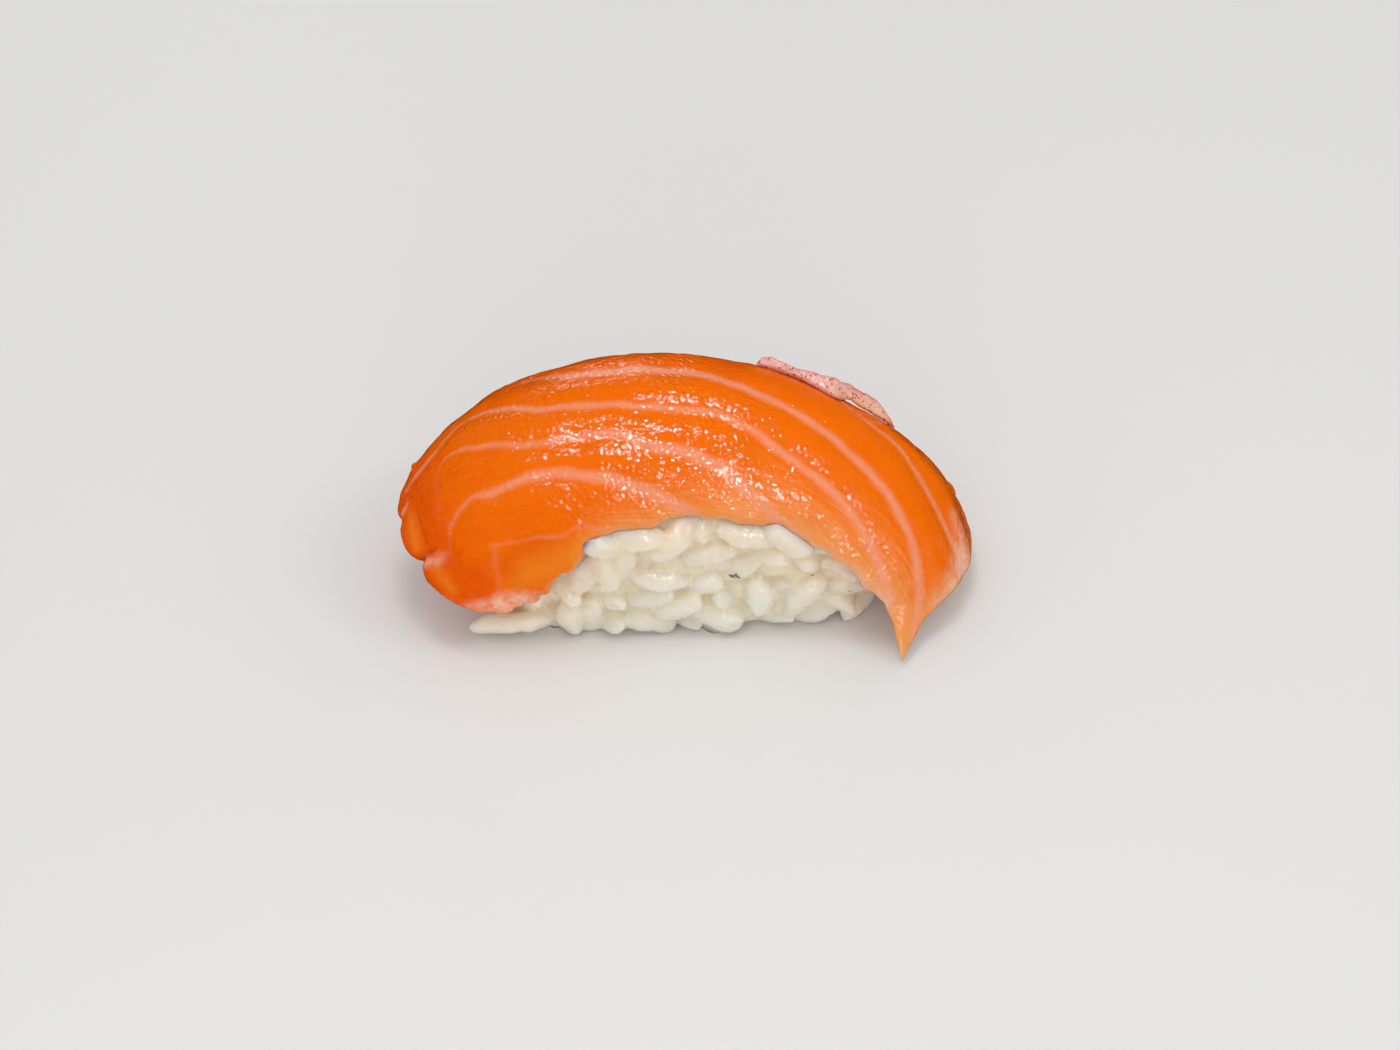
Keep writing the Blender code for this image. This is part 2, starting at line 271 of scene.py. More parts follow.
# Each seam of fat: its strength, its border's softness, and its (turn, across, half width) points.
FAT_SEAMS = {
    "upper": (1.0, 0.65, [
        (-31, 0.44, 0.2), (-25, 0.38, 0.5), (-15, 0.24, 0.8), (-3, 0.19, 0.85), (8, 0.14, 0.8),
        (19, 0, 0.65), (31, -0.17, 0.6), (46, -0.38, 0.65), (55, -0.51, 0.65), (64, -0.66, 0.6),
        (70, -0.74, 0.6), (77, -0.84, 0.6), (82, -0.9, 0.6),
    ]),
    "middle": (1.0, 0.55, [
        (-66, -0.02, 0.1), (-63, 0.01, 0.3), (-60, 0.03, 0.4), (-55, 0.09, 0.3), (-50, 0.19, 0.25),
        (-45, 0.24, 0.3), (-34, 0.14, 0.5), (-26, 0.03, 0.5), (-17, -0.05, 0.5), (-7, -0.12, 0.5),
        (1, -0.18, 0.5), (9, -0.21, 0.5), (14, -0.27, 0.5), (25, -0.47, 0.55), (36, -0.6, 0.6),
        (45, -0.72, 0.65), (57, -0.87, 0.65), (66, -0.95, 0.6),
    ]),
    "lower": (0.9, 0.5, [
        (-58, -0.2, -0.3), (-55, -0.12, -0.1), (-52.5, -0.06, 0.05), (-49, -0.03, 0.2),
        (-43, -0.06, 0.35), (-36, -0.12, 0.4), (-28, -0.21, 0.4), (-20, -0.27, 0.45), (-12, -0.31, 0.5),
        (-8, -0.35, 0.6), (-4, -0.43, 0.75), (3, -0.51, 0.75), (11, -0.62, 0.8), (18, -0.78, 0.8),
        (26, -0.95, 0.7), (32, -0.94, 0.4),
    ]),
    "lowest": (0.85, 0.55, [
        (-64, -0.88, -0.1), (-66, -0.8, -0.2), (-65.5, -0.7, -0.2), (-63, -0.6, -0.2),
        (-60, -0.52, -0.15), (-57.5, -0.45, 0.0), (-54, -0.38, 0.2), (-47, -0.34, 0.25),
        (-41, -0.36, 0.5), (-31, -0.38, 0.65), (-25, -0.43, 0.75), (-20, -0.52, 0.8), (-13, -0.6, 0.85),
        (-7, -0.69, 0.9), (0, -0.82, 1.0), (6, -0.97, 1.1),
    ]),
    "right": (0.9, 0.6, [
        (36, 0.25, 0.1), (43, 0.09, 0.35), (48, 0.01, 0.4), (57, -0.14, 0.5), (66, -0.26, 0.6),
        (73, -0.3, 0.8), (79, -0.33, 1.3), (84, -0.28, 2.0),
    ]),
    "branch": (0.7, 0.45, [
        (-50, -0.6, -0.1), (-46, -0.6, 0.2), (-39, -0.65, 0.15), (-33, -0.69, 0.25), (-30, -0.73, 0.3),
        (-26, -0.79, 0.2), (-20, -0.84, 0.25), (-13, -0.97, 0.2),
    ]),
    "branch_down": (0.6, 0.8, [
        (-46, -0.6, 0.3), (-48, -0.65, 0.3), (-51, -0.71, 0.2), (-55, -0.78, 0.1), (-60, -0.86, 0.2),
    ]),
    "membrane": (0.95, 0.4, [
        (-77, -0.15, 0.3), (-73, -0.14, 0.4), (-68, -0.12, 0.4), (-65.5, -0.1, 0.2),
    ]),
    "fold": (0.6, 0.3, [(-64, -0.17, 0.0), (-65, -0.25, 0.1), (-65.8, -0.32, 0.1), (-66, -0.4, 0.0)]),
    "upper_lobe": (0.5, 0.6, [(-62, 0.05, 0.3), (-64.5, -0.01, 0.2), (-66, -0.07, 0.1)]),
    "left_blush": (0.4, 1.0, [
        (-52.5, -0.1, 0.2), (-54.2, -0.16, 0.4), (-56, -0.26, 0.3), (-58.2, -0.36, 0.0),
    ]),
    "left_blush_end": (0.3, 0.8, [(-57.5, -0.05, 0.2), (-59, -0.14, 0.1), (-60.5, -0.25, 0.0)]),
    "middle_rim": (0.4, 0.6, [(-75, -0.2, 0.3), (-75.5, -0.28, 0.4), (-74.5, -0.36, 0.3)]),
    "lower_rim": (0.5, 0.7, [
        (-77, -0.5, 0.5), (-77.5, -0.6, 0.7), (-77, -0.72, 0.9), (-75, -0.86, 0.8), (-69, -0.93, 0.7),
        (-60, -0.95, 0.8), (-54, -0.95, 0.7), (-48, -0.97, 0.5), (-42, -0.99, 0.5), (-36, -1, 0.3),
    ]),
    "thin_edge": (0.4, 0.8, [(-46, -0.93, 0.2), (-41, -0.96, 0.5), (-35, -0.97, 0.3)]),
    "back_upper": (0.9, 0.7, [
        (14, 0.6, 0.2), (2, 0.64, 0.5), (-20, 0.72, 0.55), (-42, 0.76, 0.5), (-60, 0.7, 0.3),
    ]),
    "back_lower": (0.9, 0.7, [
        (76, 0.05, 0.3), (66, 0.3, 0.5), (52, 0.56, 0.55), (32, 0.74, 0.55), (8, 0.86, 0.55),
        (-14, 0.98, 0.6),
    ]),
}
# White membrane, in mottled patches: under the lower left lobe, in the notch, at the right end, and
# along the thin front edge beside the tip.
MEMBRANES = {
    "bottom": (1.0, 0.9, [
        (-72, -0.82, 0.0), (-67, -0.86, 0.6), (-61, -0.88, 1.2), (-56, -0.9, 1.3), (-51, -0.92, 0.9),
        (-46, -0.95, 0.3),
    ]),
    "notch": (0.7, 0.5, [
        (-77, -0.46, 0.1), (-72, -0.45, 0.3), (-68, -0.47, 0.5), (-64.5, -0.49, 0.5),
        (-60.5, -0.5, 0.0),
    ]),
    "right_end": (1.0, 1.8, [
        (69, -0.14, 0.0), (73, -0.18, 0.8), (77, -0.26, 1.8), (79, -0.38, 2.2), (79.5, -0.52, 1.7),
        (79.5, -0.66, 0.4),
    ]),
    "front_edge": (0.9, 0.8, [
        (24, -0.98, 0.0), (36, -0.98, 0.3), (46, -0.97, 0.4), (54, -0.98, 0.7), (61, -0.99, 0.9),
        (67, -1, 0.4),
    ]),
}
# The muscle swells between these seams, so that each lies in a shallow valley.
VALLEY_SEAMS = ("upper", "middle", "lower", "lowest", "right", "back_upper", "back_lower")
VALLEY_DEPTH, VALLEY_HALF_WIDTH = 0.42, 1.5
# Golden muscle, thin and clear: in the middle lobe's rim, along the lower lobe, and on the cut facet.
GOLD_STRIPS = {
    "middle_lobe": (0.65, 0.8, [(-66.5, -0.17, 0.3), (-67.5, -0.26, 0.6), (-68.8, -0.36, 0.5)]),
    "lower_lobe": (0.55, 0.9, [(-68.2, -0.52, 0.4), (-68.8, -0.6, 0.7), (-69.8, -0.68, 0.4)]),
    "facet": (0.8, 2.0, [(-47, -0.84, 0.8), (-40, -0.84, 1.6), (-32, -0.88, 1.4), (-24, -0.92, 0.9)]),
}
# Where the lobes part, the surface dips. A negative dip is a swelling.
FOLDS = {
    "notch": (0.6, 0.3, [(-79, -0.44, 0.25), (-73, -0.42, 0.3), (-68, -0.42, 0.2), (-64, -0.44, 0.05)]),
    "membrane": (0.3, 0.3, [(-79, -0.1, 0.2), (-73, -0.1, 0.2), (-68, -0.09, 0.1)]),
    "end_turn": (0.3, 0.5, [
        (-64, -0.17, 0.0), (-65, -0.25, 0.1), (-65.8, -0.34, 0.2), (-66, -0.42, 0.1),
    ]),
    "middle_lobe": (-0.3, 0.9, [(-72, -0.2, 0.4), (-72.5, -0.28, 0.6), (-72, -0.36, 0.4)]),
    "nub": (-0.5, 0.3, [(-62, 0.17, 0.2), (-62.6, 0.14, 0.2)]),
    "gel_bump": (-0.4, 0.4, [(66.5, 0.08, 0.4), (68, 0.05, 0.5)]),
}
# Flesh that has dried dark: a line of lean behind the left shoulder, the back of the right end, and dots.
DRY_STREAKS = {
    "left_shoulder": (0.9, 0.35, [
        (-63, 0.16, 0.3), (-56, 0.3, 0.25), (-48, 0.38, 0.25), (-38, 0.42, 0.2), (-25, 0.45, 0.15),
        (-12, 0.47, 0.1),
    ]),
    "right_back": (1.0, 1.0, [
        (44, 0.26, 0.2), (54, 0.16, 0.6), (61, 0.09, 1.0), (67, 0.02, 1.2), (72, -0.05, 1.2),
        (77, -0.1, 0.9), (81, -0.12, 0.5),
    ]),
    "notch_dot": (1.0, 0.12, [(-66.4, -0.41, 0.12), (-65.4, -0.43, 0.18), (-64.6, -0.44, 0.08)]),
    "nub": (1.0, 0.2, [(-62, 0.18, 0.2), (-62.8, 0.14, 0.2)]),
}


def uneven(points, size, seed):
    """Soft unevenness, mostly between -0.5 and 0.5, with swellings of about size millimetres."""
    aside = Vector((17.3 * seed, 5.1 * seed, 11.7 * seed))
    return np.array([noise.noise(Vector(point) / size + aside) for point in points])


def swellings(points, *layers):
    """Unevenness in layers, each a (height, size, seed)."""
    return sum(height * uneven(points, size, seed) for height, size, seed in layers)


def strongest(surface, lines):
    """The greatest cover of several lines, each a (strength, softness, points)."""
    covers = [strength * line_cover(surface, points, soft) for strength, soft, points in lines.values()]
    return np.max(covers, axis=0)


def slice_marks(along, across):
    """What the finish needs to know at each place: seams of fat, thinness for painted light, painted
    shade, drying, the lie of the muscle fibres, and the height of the fine relief."""
    turn, _, from_right, from_front, from_back = slice_place(along, across)
    surface = drape(turn, across)
    wander = surface + 0.25 * np.stack([uneven(surface, 2.6, seed) for seed in (8, 9, 10)], -1)
    fat = strongest(wander, FAT_SEAMS)
    height = SEAM_RISE * fat * fat * (3 - 2 * fat)
    valley = np.zeros(len(surface))
    for name in VALLEY_SEAMS:
        distance, half_width = line_distance(surface, FAT_SEAMS[name][2])
        hollow = np.exp(-((distance / VALLEY_HALF_WIDTH) ** 2)) * np.clip(half_width / 0.5, 0, 1)
        valley = np.maximum(valley, hollow)
    height -= VALLEY_DEPTH * valley
    for dip, softness, points in FOLDS.values():
        height -= dip * line_cover(surface, points, softness)
    height += swellings(surface, (0.25, 5.0, 1), (0.08, 2.0, 2), (0.06, 0.9, 3))

    # Painted light: near the thin front edge and the right end the colour is to be paler, as though light
    # came through the thin flesh from the rice beneath.
    thin_reach = profile(turn, (-76, 2), (-34, 2), (-15, 6), (5, 8), (25, 12), (60, 12), (84, 9))
    pale = profile(from_front / thin_reach, (0, 1), (0.35, 0.5), (1, 0))
    pale_end = profile(from_right, (0, 1), (2.5, 0.6), (7, 0)) * profile(across, (-0.1, 1), (0.3, 0))
    pale = np.maximum(pale, pale_end)
    # Painted shade: the colour goes deeper where the slice turns from the light: at the left end, on the
    # front below the left shoulder, and down the back.
    deep = profile(turn, (-76, 1), (-60, 0.85), (-50, 0.3), (-20, 0.05), (30, 0), (84, 0.25))
    deep *= profile(across, (-1, 0.1), (-0.82, 1))
    below = 0.7 * profile(across, (-0.75, 1), (-0.6, 0)) * profile(turn, (-60, 0), (-45, 1), (-20, 0))
    deep = np.maximum(deep, below)
    deep = np.maximum(deep, 0.6 * profile(across, (-0.1, 0), (0.5, 1)))
    dry_edge = 0.5 * profile(from_back, (0, 1), (3, 0))
    return {
        "fat": fat,
        "membrane": strongest(wander, MEMBRANES),
        "pale": pale,
        "deep": deep,
        "dry": np.maximum(strongest(surface, DRY_STREAKS), dry_edge),
        "gold": strongest(surface, GOLD_STRIPS),
        "lie": np.stack([0.6 * turn, 21 * across + 0.1 * turn, 0 * turn], -1),
        "height": height,
    }


def put_marks(mesh, marks):
    """Stores values for each vertex, plain or vector, where the material can read them."""
    for name, values in marks.items():
        vector = values.ndim == 2
        made = mesh.attributes.new(name, "FLOAT_VECTOR" if vector else "FLOAT", "POINT")
        made.data.foreach_set("vector" if vector else "value", values.astype(np.float32).ravel())


def sheet(lower, segments, surface, marks_at):
    """A grid of quads on the upper or lower face of a slab, with its marks."""
    bm = bmesh.new()
    bmesh.ops.create_grid(bm, x_segments=segments[0], y_segments=segments[1], size=1.0)
    flat = np.array([v.co for v in bm.verts])
    # Rows crowd towards the edges, where the slab turns over.
    along, across = (1.25 * flat[:, k] - 0.25 * flat[:, k] ** 3 for k in (0, 1))
    points, marks = surface(along, across, lower), marks_at(along, across)
    if "height" in marks:
        turn = slice_place(along, across)[0]
        points = points + marks.pop("height")[:, None] * outward(turn, across)
    mesh = bpy.data.meshes.new("sheet")
    bm.to_mesh(mesh)
    mesh.vertices.foreach_set("co", points.ravel())
    put_marks(mesh, marks)
    bm.clear()
    bm.from_mesh(mesh)
    # A corner face splits at its middle, so that the two sheets stay apart right up to the corner.
    corners = [f for f in bm.faces if sum(e.is_boundary for e in f.edges) == 2]
    bmesh.ops.poke(bm, faces=corners)
    if lower:
        bmesh.ops.reverse_faces(bm, faces=bm.faces)
    bm.to_mesh(mesh)
    bm.free()
    return mesh


def slab(name, segments, surface, marks_at):
    """A closed body in millimetres: an upper and a lower sheet, welded along the edge that they share."""
    bm = bmesh.new()
    for lower in (False, True):
        half = sheet(lower, segments, surface, marks_at)
        bm.from_mesh(half)
        bpy.data.meshes.remove(half)
    bmesh.ops.remove_doubles(bm, verts=bm.verts, dist=0.002)
    mesh = bpy.data.meshes.new(name)
    bm.to_mesh(mesh)
    bm.free()
    mesh.shade_smooth()
    return mesh


def mesh_points(mesh):
    """The mesh's vertices as an array."""
    points = np.empty(3 * len(mesh.vertices))
    mesh.vertices.foreach_get("co", points)
    return points.reshape(-1, 3)


def middle_and_top(low, high):
    """The point above a box's middle, at its top."""
    return np.array([(low[0] + high[0]) / 2, (low[1] + high[1]) / 2, high[2]])


def show(mesh, material, node):
    """Puts a finished mesh where the CAD model has it, in metres. It rides on the one body, takes the
    given finish, and hides the CAD part that it stands in for."""
    points = (mesh_points(mesh) + to_frame) * MM
    mesh.vertices.foreach_set("co", points.ravel())
    mesh.update()
    mesh.materials.append(material)
    piece = bpy.data.objects.new(mesh.name, mesh)
    bpy.context.scene.collection.objects.link(piece)
    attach(piece, "root")
    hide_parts(node)
    return piece


# The forms are worked out round the rice's own middle, and to_frame moves them to where the CAD slice is.
spread = np.linspace(-1, 1, 220)
plain_slice = slice_surface(np.repeat(spread, len(spread)), np.tile(spread, len(spread)), lower=False)
slice_box = [np.array(corner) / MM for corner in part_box("salmon_slice")]
to_frame = middle_and_top(*slice_box) - middle_and_top(plain_slice.min(0), plain_slice.max(0))


def add(tree, kind, settings=None, **inputs):
    """A shader node. Each input is a plain value or another node's output, and _ stands for a space."""
    made = tree.nodes.new("ShaderNode" + kind)
    for name, value in (settings or {}).items():
        setattr(made, name, value)
    for name, value in inputs.items():
        plug(tree, value, made.inputs[name.replace("_", " ")])
    return made


def plug(tree, value, socket):
    """Links a node's output to a socket, or sets the socket to a plain value."""
    if isinstance(value, bpy.types.NodeSocket):
        tree.links.new(value, socket)
    else:
        socket.default_value = value


def mark(tree, name, output="Fac"):
    """A value that put_marks stored."""
    return add(tree, "Attribute", {"attribute_name": name}).outputs[output]


def maths(tree, operation, first, second):
    """One sum on values that change over the surface."""
    made = tree.nodes.new("ShaderNodeMath")
    made.operation = operation
    plug(tree, first, made.inputs[0])
    plug(tree, second, made.inputs[1])
    return made.outputs[0]


def remap(tree, value, low, high, to_low=0.0, to_high=1.0):
    """A smooth step from to_low, at low, to to_high, at high."""
    made = add(tree, "MapRange", {"interpolation_type": "SMOOTHSTEP"}, Value=value)
    for name, number in (("From Min", low), ("From Max", high), ("To Min", to_low), ("To Max", to_high)):
        made.inputs[name].default_value = number
    return made.outputs[0]


def blend(tree, share, under, over):
    """The colour under, with a share of the colour over it."""
    made = tree.nodes.new("ShaderNodeMix")
    made.data_type = "RGBA"
    plug(tree, share, made.inputs[0])
    plug(tree, under, made.inputs[6])
    plug(tree, over, made.inputs[7])
    return made.outputs[2]


def grain_noise(tree, where, size, detail=2.0, roughness=0.5):
    """Noise from 0 to 1 with features of about size, in the units of where."""
    made = add(tree, "TexNoise", Vector=where, Scale=1 / size, Detail=detail, Roughness=roughness)
    return made.outputs["Fac"]


def stirred(tree, value, noise_value, amount):
    """A value moved up and down by a noise from 0 to 1, over a range of amount."""
    moved = maths(tree, "MULTIPLY", maths(tree, "SUBTRACT", noise_value, 0.5), amount)
    return maths(tree, "ADD", value, moved)


def new_group(name, inputs, outputs):
    """An empty node group with its sockets, each a (name, kind, default), and its two end nodes."""
    group = bpy.data.node_groups.new(name, "ShaderNodeTree")
    for label, kind, default in inputs:
        socket = group.interface.new_socket(label, in_out="INPUT", socket_type="NodeSocket" + kind)
        if default is not None:
            socket.default_value = default
    for label, kind in outputs:
        group.interface.new_socket(label, in_out="OUTPUT", socket_type="NodeSocket" + kind)
    return group, group.nodes.new("NodeGroupInput").outputs, group.nodes.new("NodeGroupOutput").inputs


def wet_film_group():
    """The moist skin of raw fish and cooked rice: fine beading that comes and goes in patches."""
    group, given, made = new_group(
        "wet film",
        [("Position", "Vector", None), ("Bead size", "Float", 0.0004), ("Patch size", "Float", 0.004)],
        [("Height", "Float"), ("Roughness", "Float")],
    )
    fine = add(group, "TexNoise", Vector=given["Position"], Detail=0.0, Roughness=0.5)
    beads = add(group, "TexVoronoi", {"feature": "SMOOTH_F1"}, Vector=given["Position"])
    patches = add(group, "TexNoise", Vector=given["Position"], Detail=2.0, Roughness=0.6)
    group.links.new(maths(group, "DIVIDE", 1.0, given["Bead size"]), fine.inputs["Scale"])
    group.links.new(maths(group, "DIVIDE", 1.1, given["Bead size"]), beads.inputs["Scale"])
    group.links.new(maths(group, "DIVIDE", 1.0, given["Patch size"]), patches.inputs["Scale"])
    bead_height = remap(group, beads.outputs["Distance"], 0.0, 0.7, 1.0, 0.0)
    both = maths(group, "ADD", maths(group, "MULTIPLY", fine.outputs["Fac"], 1.2), bead_height)
    swell = remap(group, patches.outputs["Fac"], 0.4, 0.62, 0.6, 1.0)
    group.links.new(maths(group, "MULTIPLY", both, swell), made["Height"])
    group.links.new(remap(group, patches.outputs["Fac"], 0.35, 0.65, 1.0, 0.0), made["Roughness"])
    return group


wet_film = wet_film_group()


def wet_skin(tree, shader, here, bead, patch, depth, roughness, strength=1.0, under=None):
    """Puts the wet film on a surface, with beads and patches of these sizes and relief of this depth.
    under is relief below the film, and roughness runs from the glossy patches to the dull ones."""
    film = add(tree, "Group", {"node_tree": wet_film}, Position=here)
    film.inputs["Bead size"].default_value = bead * MM
    film.inputs["Patch size"].default_value = patch * MM
    relief = film.outputs["Height"]
    if under is not None:
        relief = maths(tree, "ADD", relief, under)
    bump = add(tree, "Bump", Strength=strength, Distance=depth * MM, Height=relief)
    plug(tree, bump.outputs["Normal"], shader.inputs["Normal"])
    plug(tree, remap(tree, film.outputs["Roughness"], 0.0, 1.0, *roughness), shader.inputs["Roughness"])


def new_material(name, **plain):
    """A material with its shader's plain values set, its node tree, and the place on the object."""
    material = bpy.data.materials.new(name)
    material.use_nodes = True
    tree = material.node_tree
    shader = tree.nodes["Principled BSDF"]
    for label, value in plain.items():
        shader.inputs[label.replace("_", " ")].default_value = value
    return material, tree, shader, add(tree, "TexCoord").outputs["Object"]


def salmon_finish():
    """Raw salmon: bright orange muscle in fine fibres, pale seams, a wet skin, painted shade where it
    turns from the light, and thin edges painted paler, as though lit through from the rice beneath.
    """
    material, tree, shader, here = new_material(
        "raw_salmon",
        Subsurface_Weight=0.35,
        Subsurface_Radius=(1.0, 0.3, 0.08),
        Subsurface_Scale=2.4 * MM,
        IOR=1.36,
        Specular_IOR_Level=0.3,
    )
    lie = mark(tree, "lie", "Vector")
    mottle = grain_noise(tree, here, 4 * MM, 3.0, 0.6)
    along_fibres = add(tree, "Mapping", Vector=lie, Scale=(0.14, 2.0, 1.0)).outputs[0]
    long_fibres = maths(tree, "MULTIPLY", grain_noise(tree, along_fibres, 1.0, 3.0, 0.6), 0.65)
    along_fibres = add(tree, "Mapping", Vector=lie, Scale=(0.5, 6.0, 1.0)).outputs[0]
    fine_fibres = maths(tree, "MULTIPLY", grain_noise(tree, along_fibres, 1.0, 2.0, 0.5), 0.35)
    fibres = maths(tree, "ADD", long_fibres, fine_fibres)

    # Painted shade: the deep mark, stirred by mottle and fibres, turns the orange to a darker red.
    shade_and_mottle = stirred(tree, stirred(tree, mark(tree, "deep"), mottle, 0.7), fibres, 2.0)
    muscle = blend(tree, remap(tree, shade_and_mottle, -0.2, 1.1), (0.9, 0.162, 0.002, 1), (0.78, 0.092, 0.001, 1))
    # Painted light: the thin edges go paler and more peach, as though lit through from the rice beneath.
    painted_glow = stirred(tree, mark(tree, "pale"), fibres, 2.0)
    muscle = blend(tree, remap(tree, painted_glow, 0.02, 1.0, 0.0, 0.85), muscle, (0.86, 0.36, 0.12, 1))
    muscle = blend(tree, mark(tree, "gold"), muscle, (0.9, 0.27, 0.02, 1))

    ragged = grain_noise(tree, here, 0.45 * MM, 3.0, 0.65)
    cover = stirred(tree, stirred(tree, mark(tree, "fat"), ragged, 0.35), fibres, 0.25)
    fat = blend(tree, mottle, (0.87, 0.36, 0.22, 1), (0.88, 0.28, 0.13, 1))
    flesh = blend(tree, remap(tree, cover, 0.1, 1.0, 0.0, 0.92), muscle, fat)
    torn = grain_noise(tree, here, 1.5 * MM, 3.0, 0.6)
    milky = maths(tree, "MULTIPLY", mark(tree, "membrane"), remap(tree, torn, 0.32, 0.6, 0.3, 0.95))
    flesh = blend(tree, milky, flesh, (0.86, 0.5, 0.36, 1))

    specks = grain_noise(tree, here, 0.7 * MM, 4.0, 0.75)
    dried = maths(tree, "MULTIPLY", mark(tree, "dry"), remap(tree, specks, 0.36, 0.62, 0.25, 1.0))
    flesh = blend(tree, maths(tree, "MULTIPLY", dried, 0.8), flesh, (0.36, 0.06, 0.008, 1))
    plug(tree, flesh, shader.inputs["Base Color"])
    relief = maths(tree, "MULTIPLY", fibres, 0.3)
    wet_skin(tree, shader, here, bead=0.6, patch=3, depth=0.085, roughness=(0.05, 0.12), under=relief)
    return material


slice_mesh = slab("salmon_slice_flesh", SLICE_SEGMENTS, slice_surface, slice_marks)
slice_points = mesh_points(slice_mesh)
slice_skin = BVHTree.FromPolygons(slice_points.tolist(), [tuple(p.vertices) for p in slice_mesh.polygons])
show(slice_mesh, salmon_finish(), "salmon_slice")

# --------------------------------------------------------------------------------------------------------
# The finger of rice: cooked short-grain rice, seasoned and pressed together in the hand. Whole grains
# lie in two layers round a core of rice, and their starch sticks them together wherever they touch.

RICE_HALF_LENGTH, RICE_HALF_WIDTH, RICE_HALF_HEIGHT = 24.3, 13.0, 15.5
RICE_CENTRE = np.array([-0.4, -0.2, 7.0])
PLAN_SQUARENESS, UPRIGHT_SQUARENESS = 4.2, 4.0
GRAIN_LENGTH, GRAIN_WIDTH, GRAIN_THICKNESS = 7.6, 3.3, 2.8
GRAIN_BEND, GRAIN_SWELL, GRAIN_TAPER = 0.6, 0.17, 0.13
GROOVE_DEPTH, GROOVE_SPREAD = 0.05, 0.35
# The stray grain at the left of the foot: its middle, which way it lies, its half length and half
# width, and how far it runs on to the right, into the others.
STRAY_GRAIN, STRAY_LIE = (-23.2, -11.2, 2.4), (1, 0, 0.02)
STRAY_HALF_SIZES, STRAY_RUN = (3.3, 1.4), 1.5
# A settling grain is a row of balls of these shares of its thickness. Two balls are held apart by
# CLOSEST of the sum of their radii, and each round makes SETTLE_STEP of every move.
GRAIN_BALLS = (0.86, 1, 1, 1, 0.86)
CLOSEST, SETTLE_STEP, SETTLE_ROUNDS = 0.78, 0.7, 90
CORE_DEPTH = 1.95
WATER_FILM = 0.03
PRESS_DEPTH = 1.3
PRESS_ABOVE = 3.0
STARCH_CLIMB, STARCH_FRONT = 1.1, -6.0
EDGE_EASE = 0.16
FUSE_STEP = 0.26
FUSE_KEEP = 0.8
HOLLOW_SIZE = 400
UNSEEN_ABOVE, UNSEEN_WITHIN = 14.5, 9.0
FAR = 60.0
floor_level = -to_frame[2]
rice_size = np.array([RICE_HALF_LENGTH, RICE_HALF_WIDTH, RICE_HALF_HEIGHT])
rice_middle = Vector(RICE_CENTRE)

# The grains that show in the open front: x and height of the middle, lean of the long axis from level
# and how far it points out of the face, in millimetres and degrees, and how far back from the outline
# the grain lies.
FRONT_GRAINS = [
    (-18.3, 5.6, 25, 25, 0.6), (-14.9, 3.6, 84, 0, 0.2), (-12.6, 2.6, 100, 10, 0.4),
    (-17.6, 3.0, 12, 10, 0.8), (-12.2, 10.9, 77, 0, 0.3), (-8.4, 11.6, 68, 8, 0.0),
    (-2.4, 15.2, 38, 0, 0.0), (-3.9, 9.3, -10, 0, 0.2), (-9.8, 5.5, 10, 72, 0.0),
    (-9.6, 1.7, 0, 75, 0.0), (-5.4, 5.6, 18, 20, 0.2), (-12.6, 7.2, 50, 10, 1.2),
    (-1.6, 4.6, 40, 0, 0.0), (0.9, 7.4, 36, 10, 0.2), (-5.4, 1.8, -6, 0, 0.7),
    (-8.6, 15.2, 60, 10, 1.4), (7.0, 16.0, 6, 0, 0.2), (1.9, 12.6, 18, 10, 0.6),
    (9.3, 12.2, 10, 50, 0.0), (13.4, 12.4, -78, 10, 0.4), (8.1, 5.8, 84, 0, 0.0),
    (13.4, 5.4, 50, 0, 0.1), (4.9, 9.6, 36, 10, 0.6), (2.9, 2.7, -12, 0, 0.0), (10.7, 4.6, 70, 30, 1.3),
    (17.4, 4.2, -24, 20, 0.3), (21.4, 5.6, -22, 0, 0.3), (18.2, 9.0, -38, 10, 0.7),
    (9.4, 1.6, 12, 20, 1.0), (18.6, 12.4, -50, 20, 0.9), (13.6, 16.4, -20, 10, 0.8),
    (14.4, 1.8, 10, 0, 1.0), (-21.3, 4.8, 60, 0, 1.2), (-6.0, 13.0, 50, 0, 1.5),
    (-1.0, 1.6, 0, 60, 1.0), (5.4, 1.4, 80, 20, 1.2),
]


def rice_reach(offsets):
    """How far out each offset from the rice's centre is, as a share of the way to the pressed outline."""
    plan = (np.abs(offsets[:, :2] / rice_size[:2]) ** PLAN_SQUARENESS).sum(1)
    upright = np.abs(offsets[:, 2] / RICE_HALF_HEIGHT) ** UPRIGHT_SQUARENESS
    return (plan ** (UPRIGHT_SQUARENESS / PLAN_SQUARENESS) + upright) ** (1 / UPRIGHT_SQUARENESS)


def outline_gap(points):
    """How far each point is inside the pressed outline, and which way is out."""
    offsets = points - RICE_CENTRE
    step = 0.01
    rises = [rice_reach(offsets + move) - rice_reach(offsets - move) for move in step * np.eye(3)]
    slope = np.stack(rises, -1) / (2 * step)
    steepness = np.linalg.norm(slope, axis=1)
    return (1 - rice_reach(offsets)) / steepness, slope / steepness[:, None]


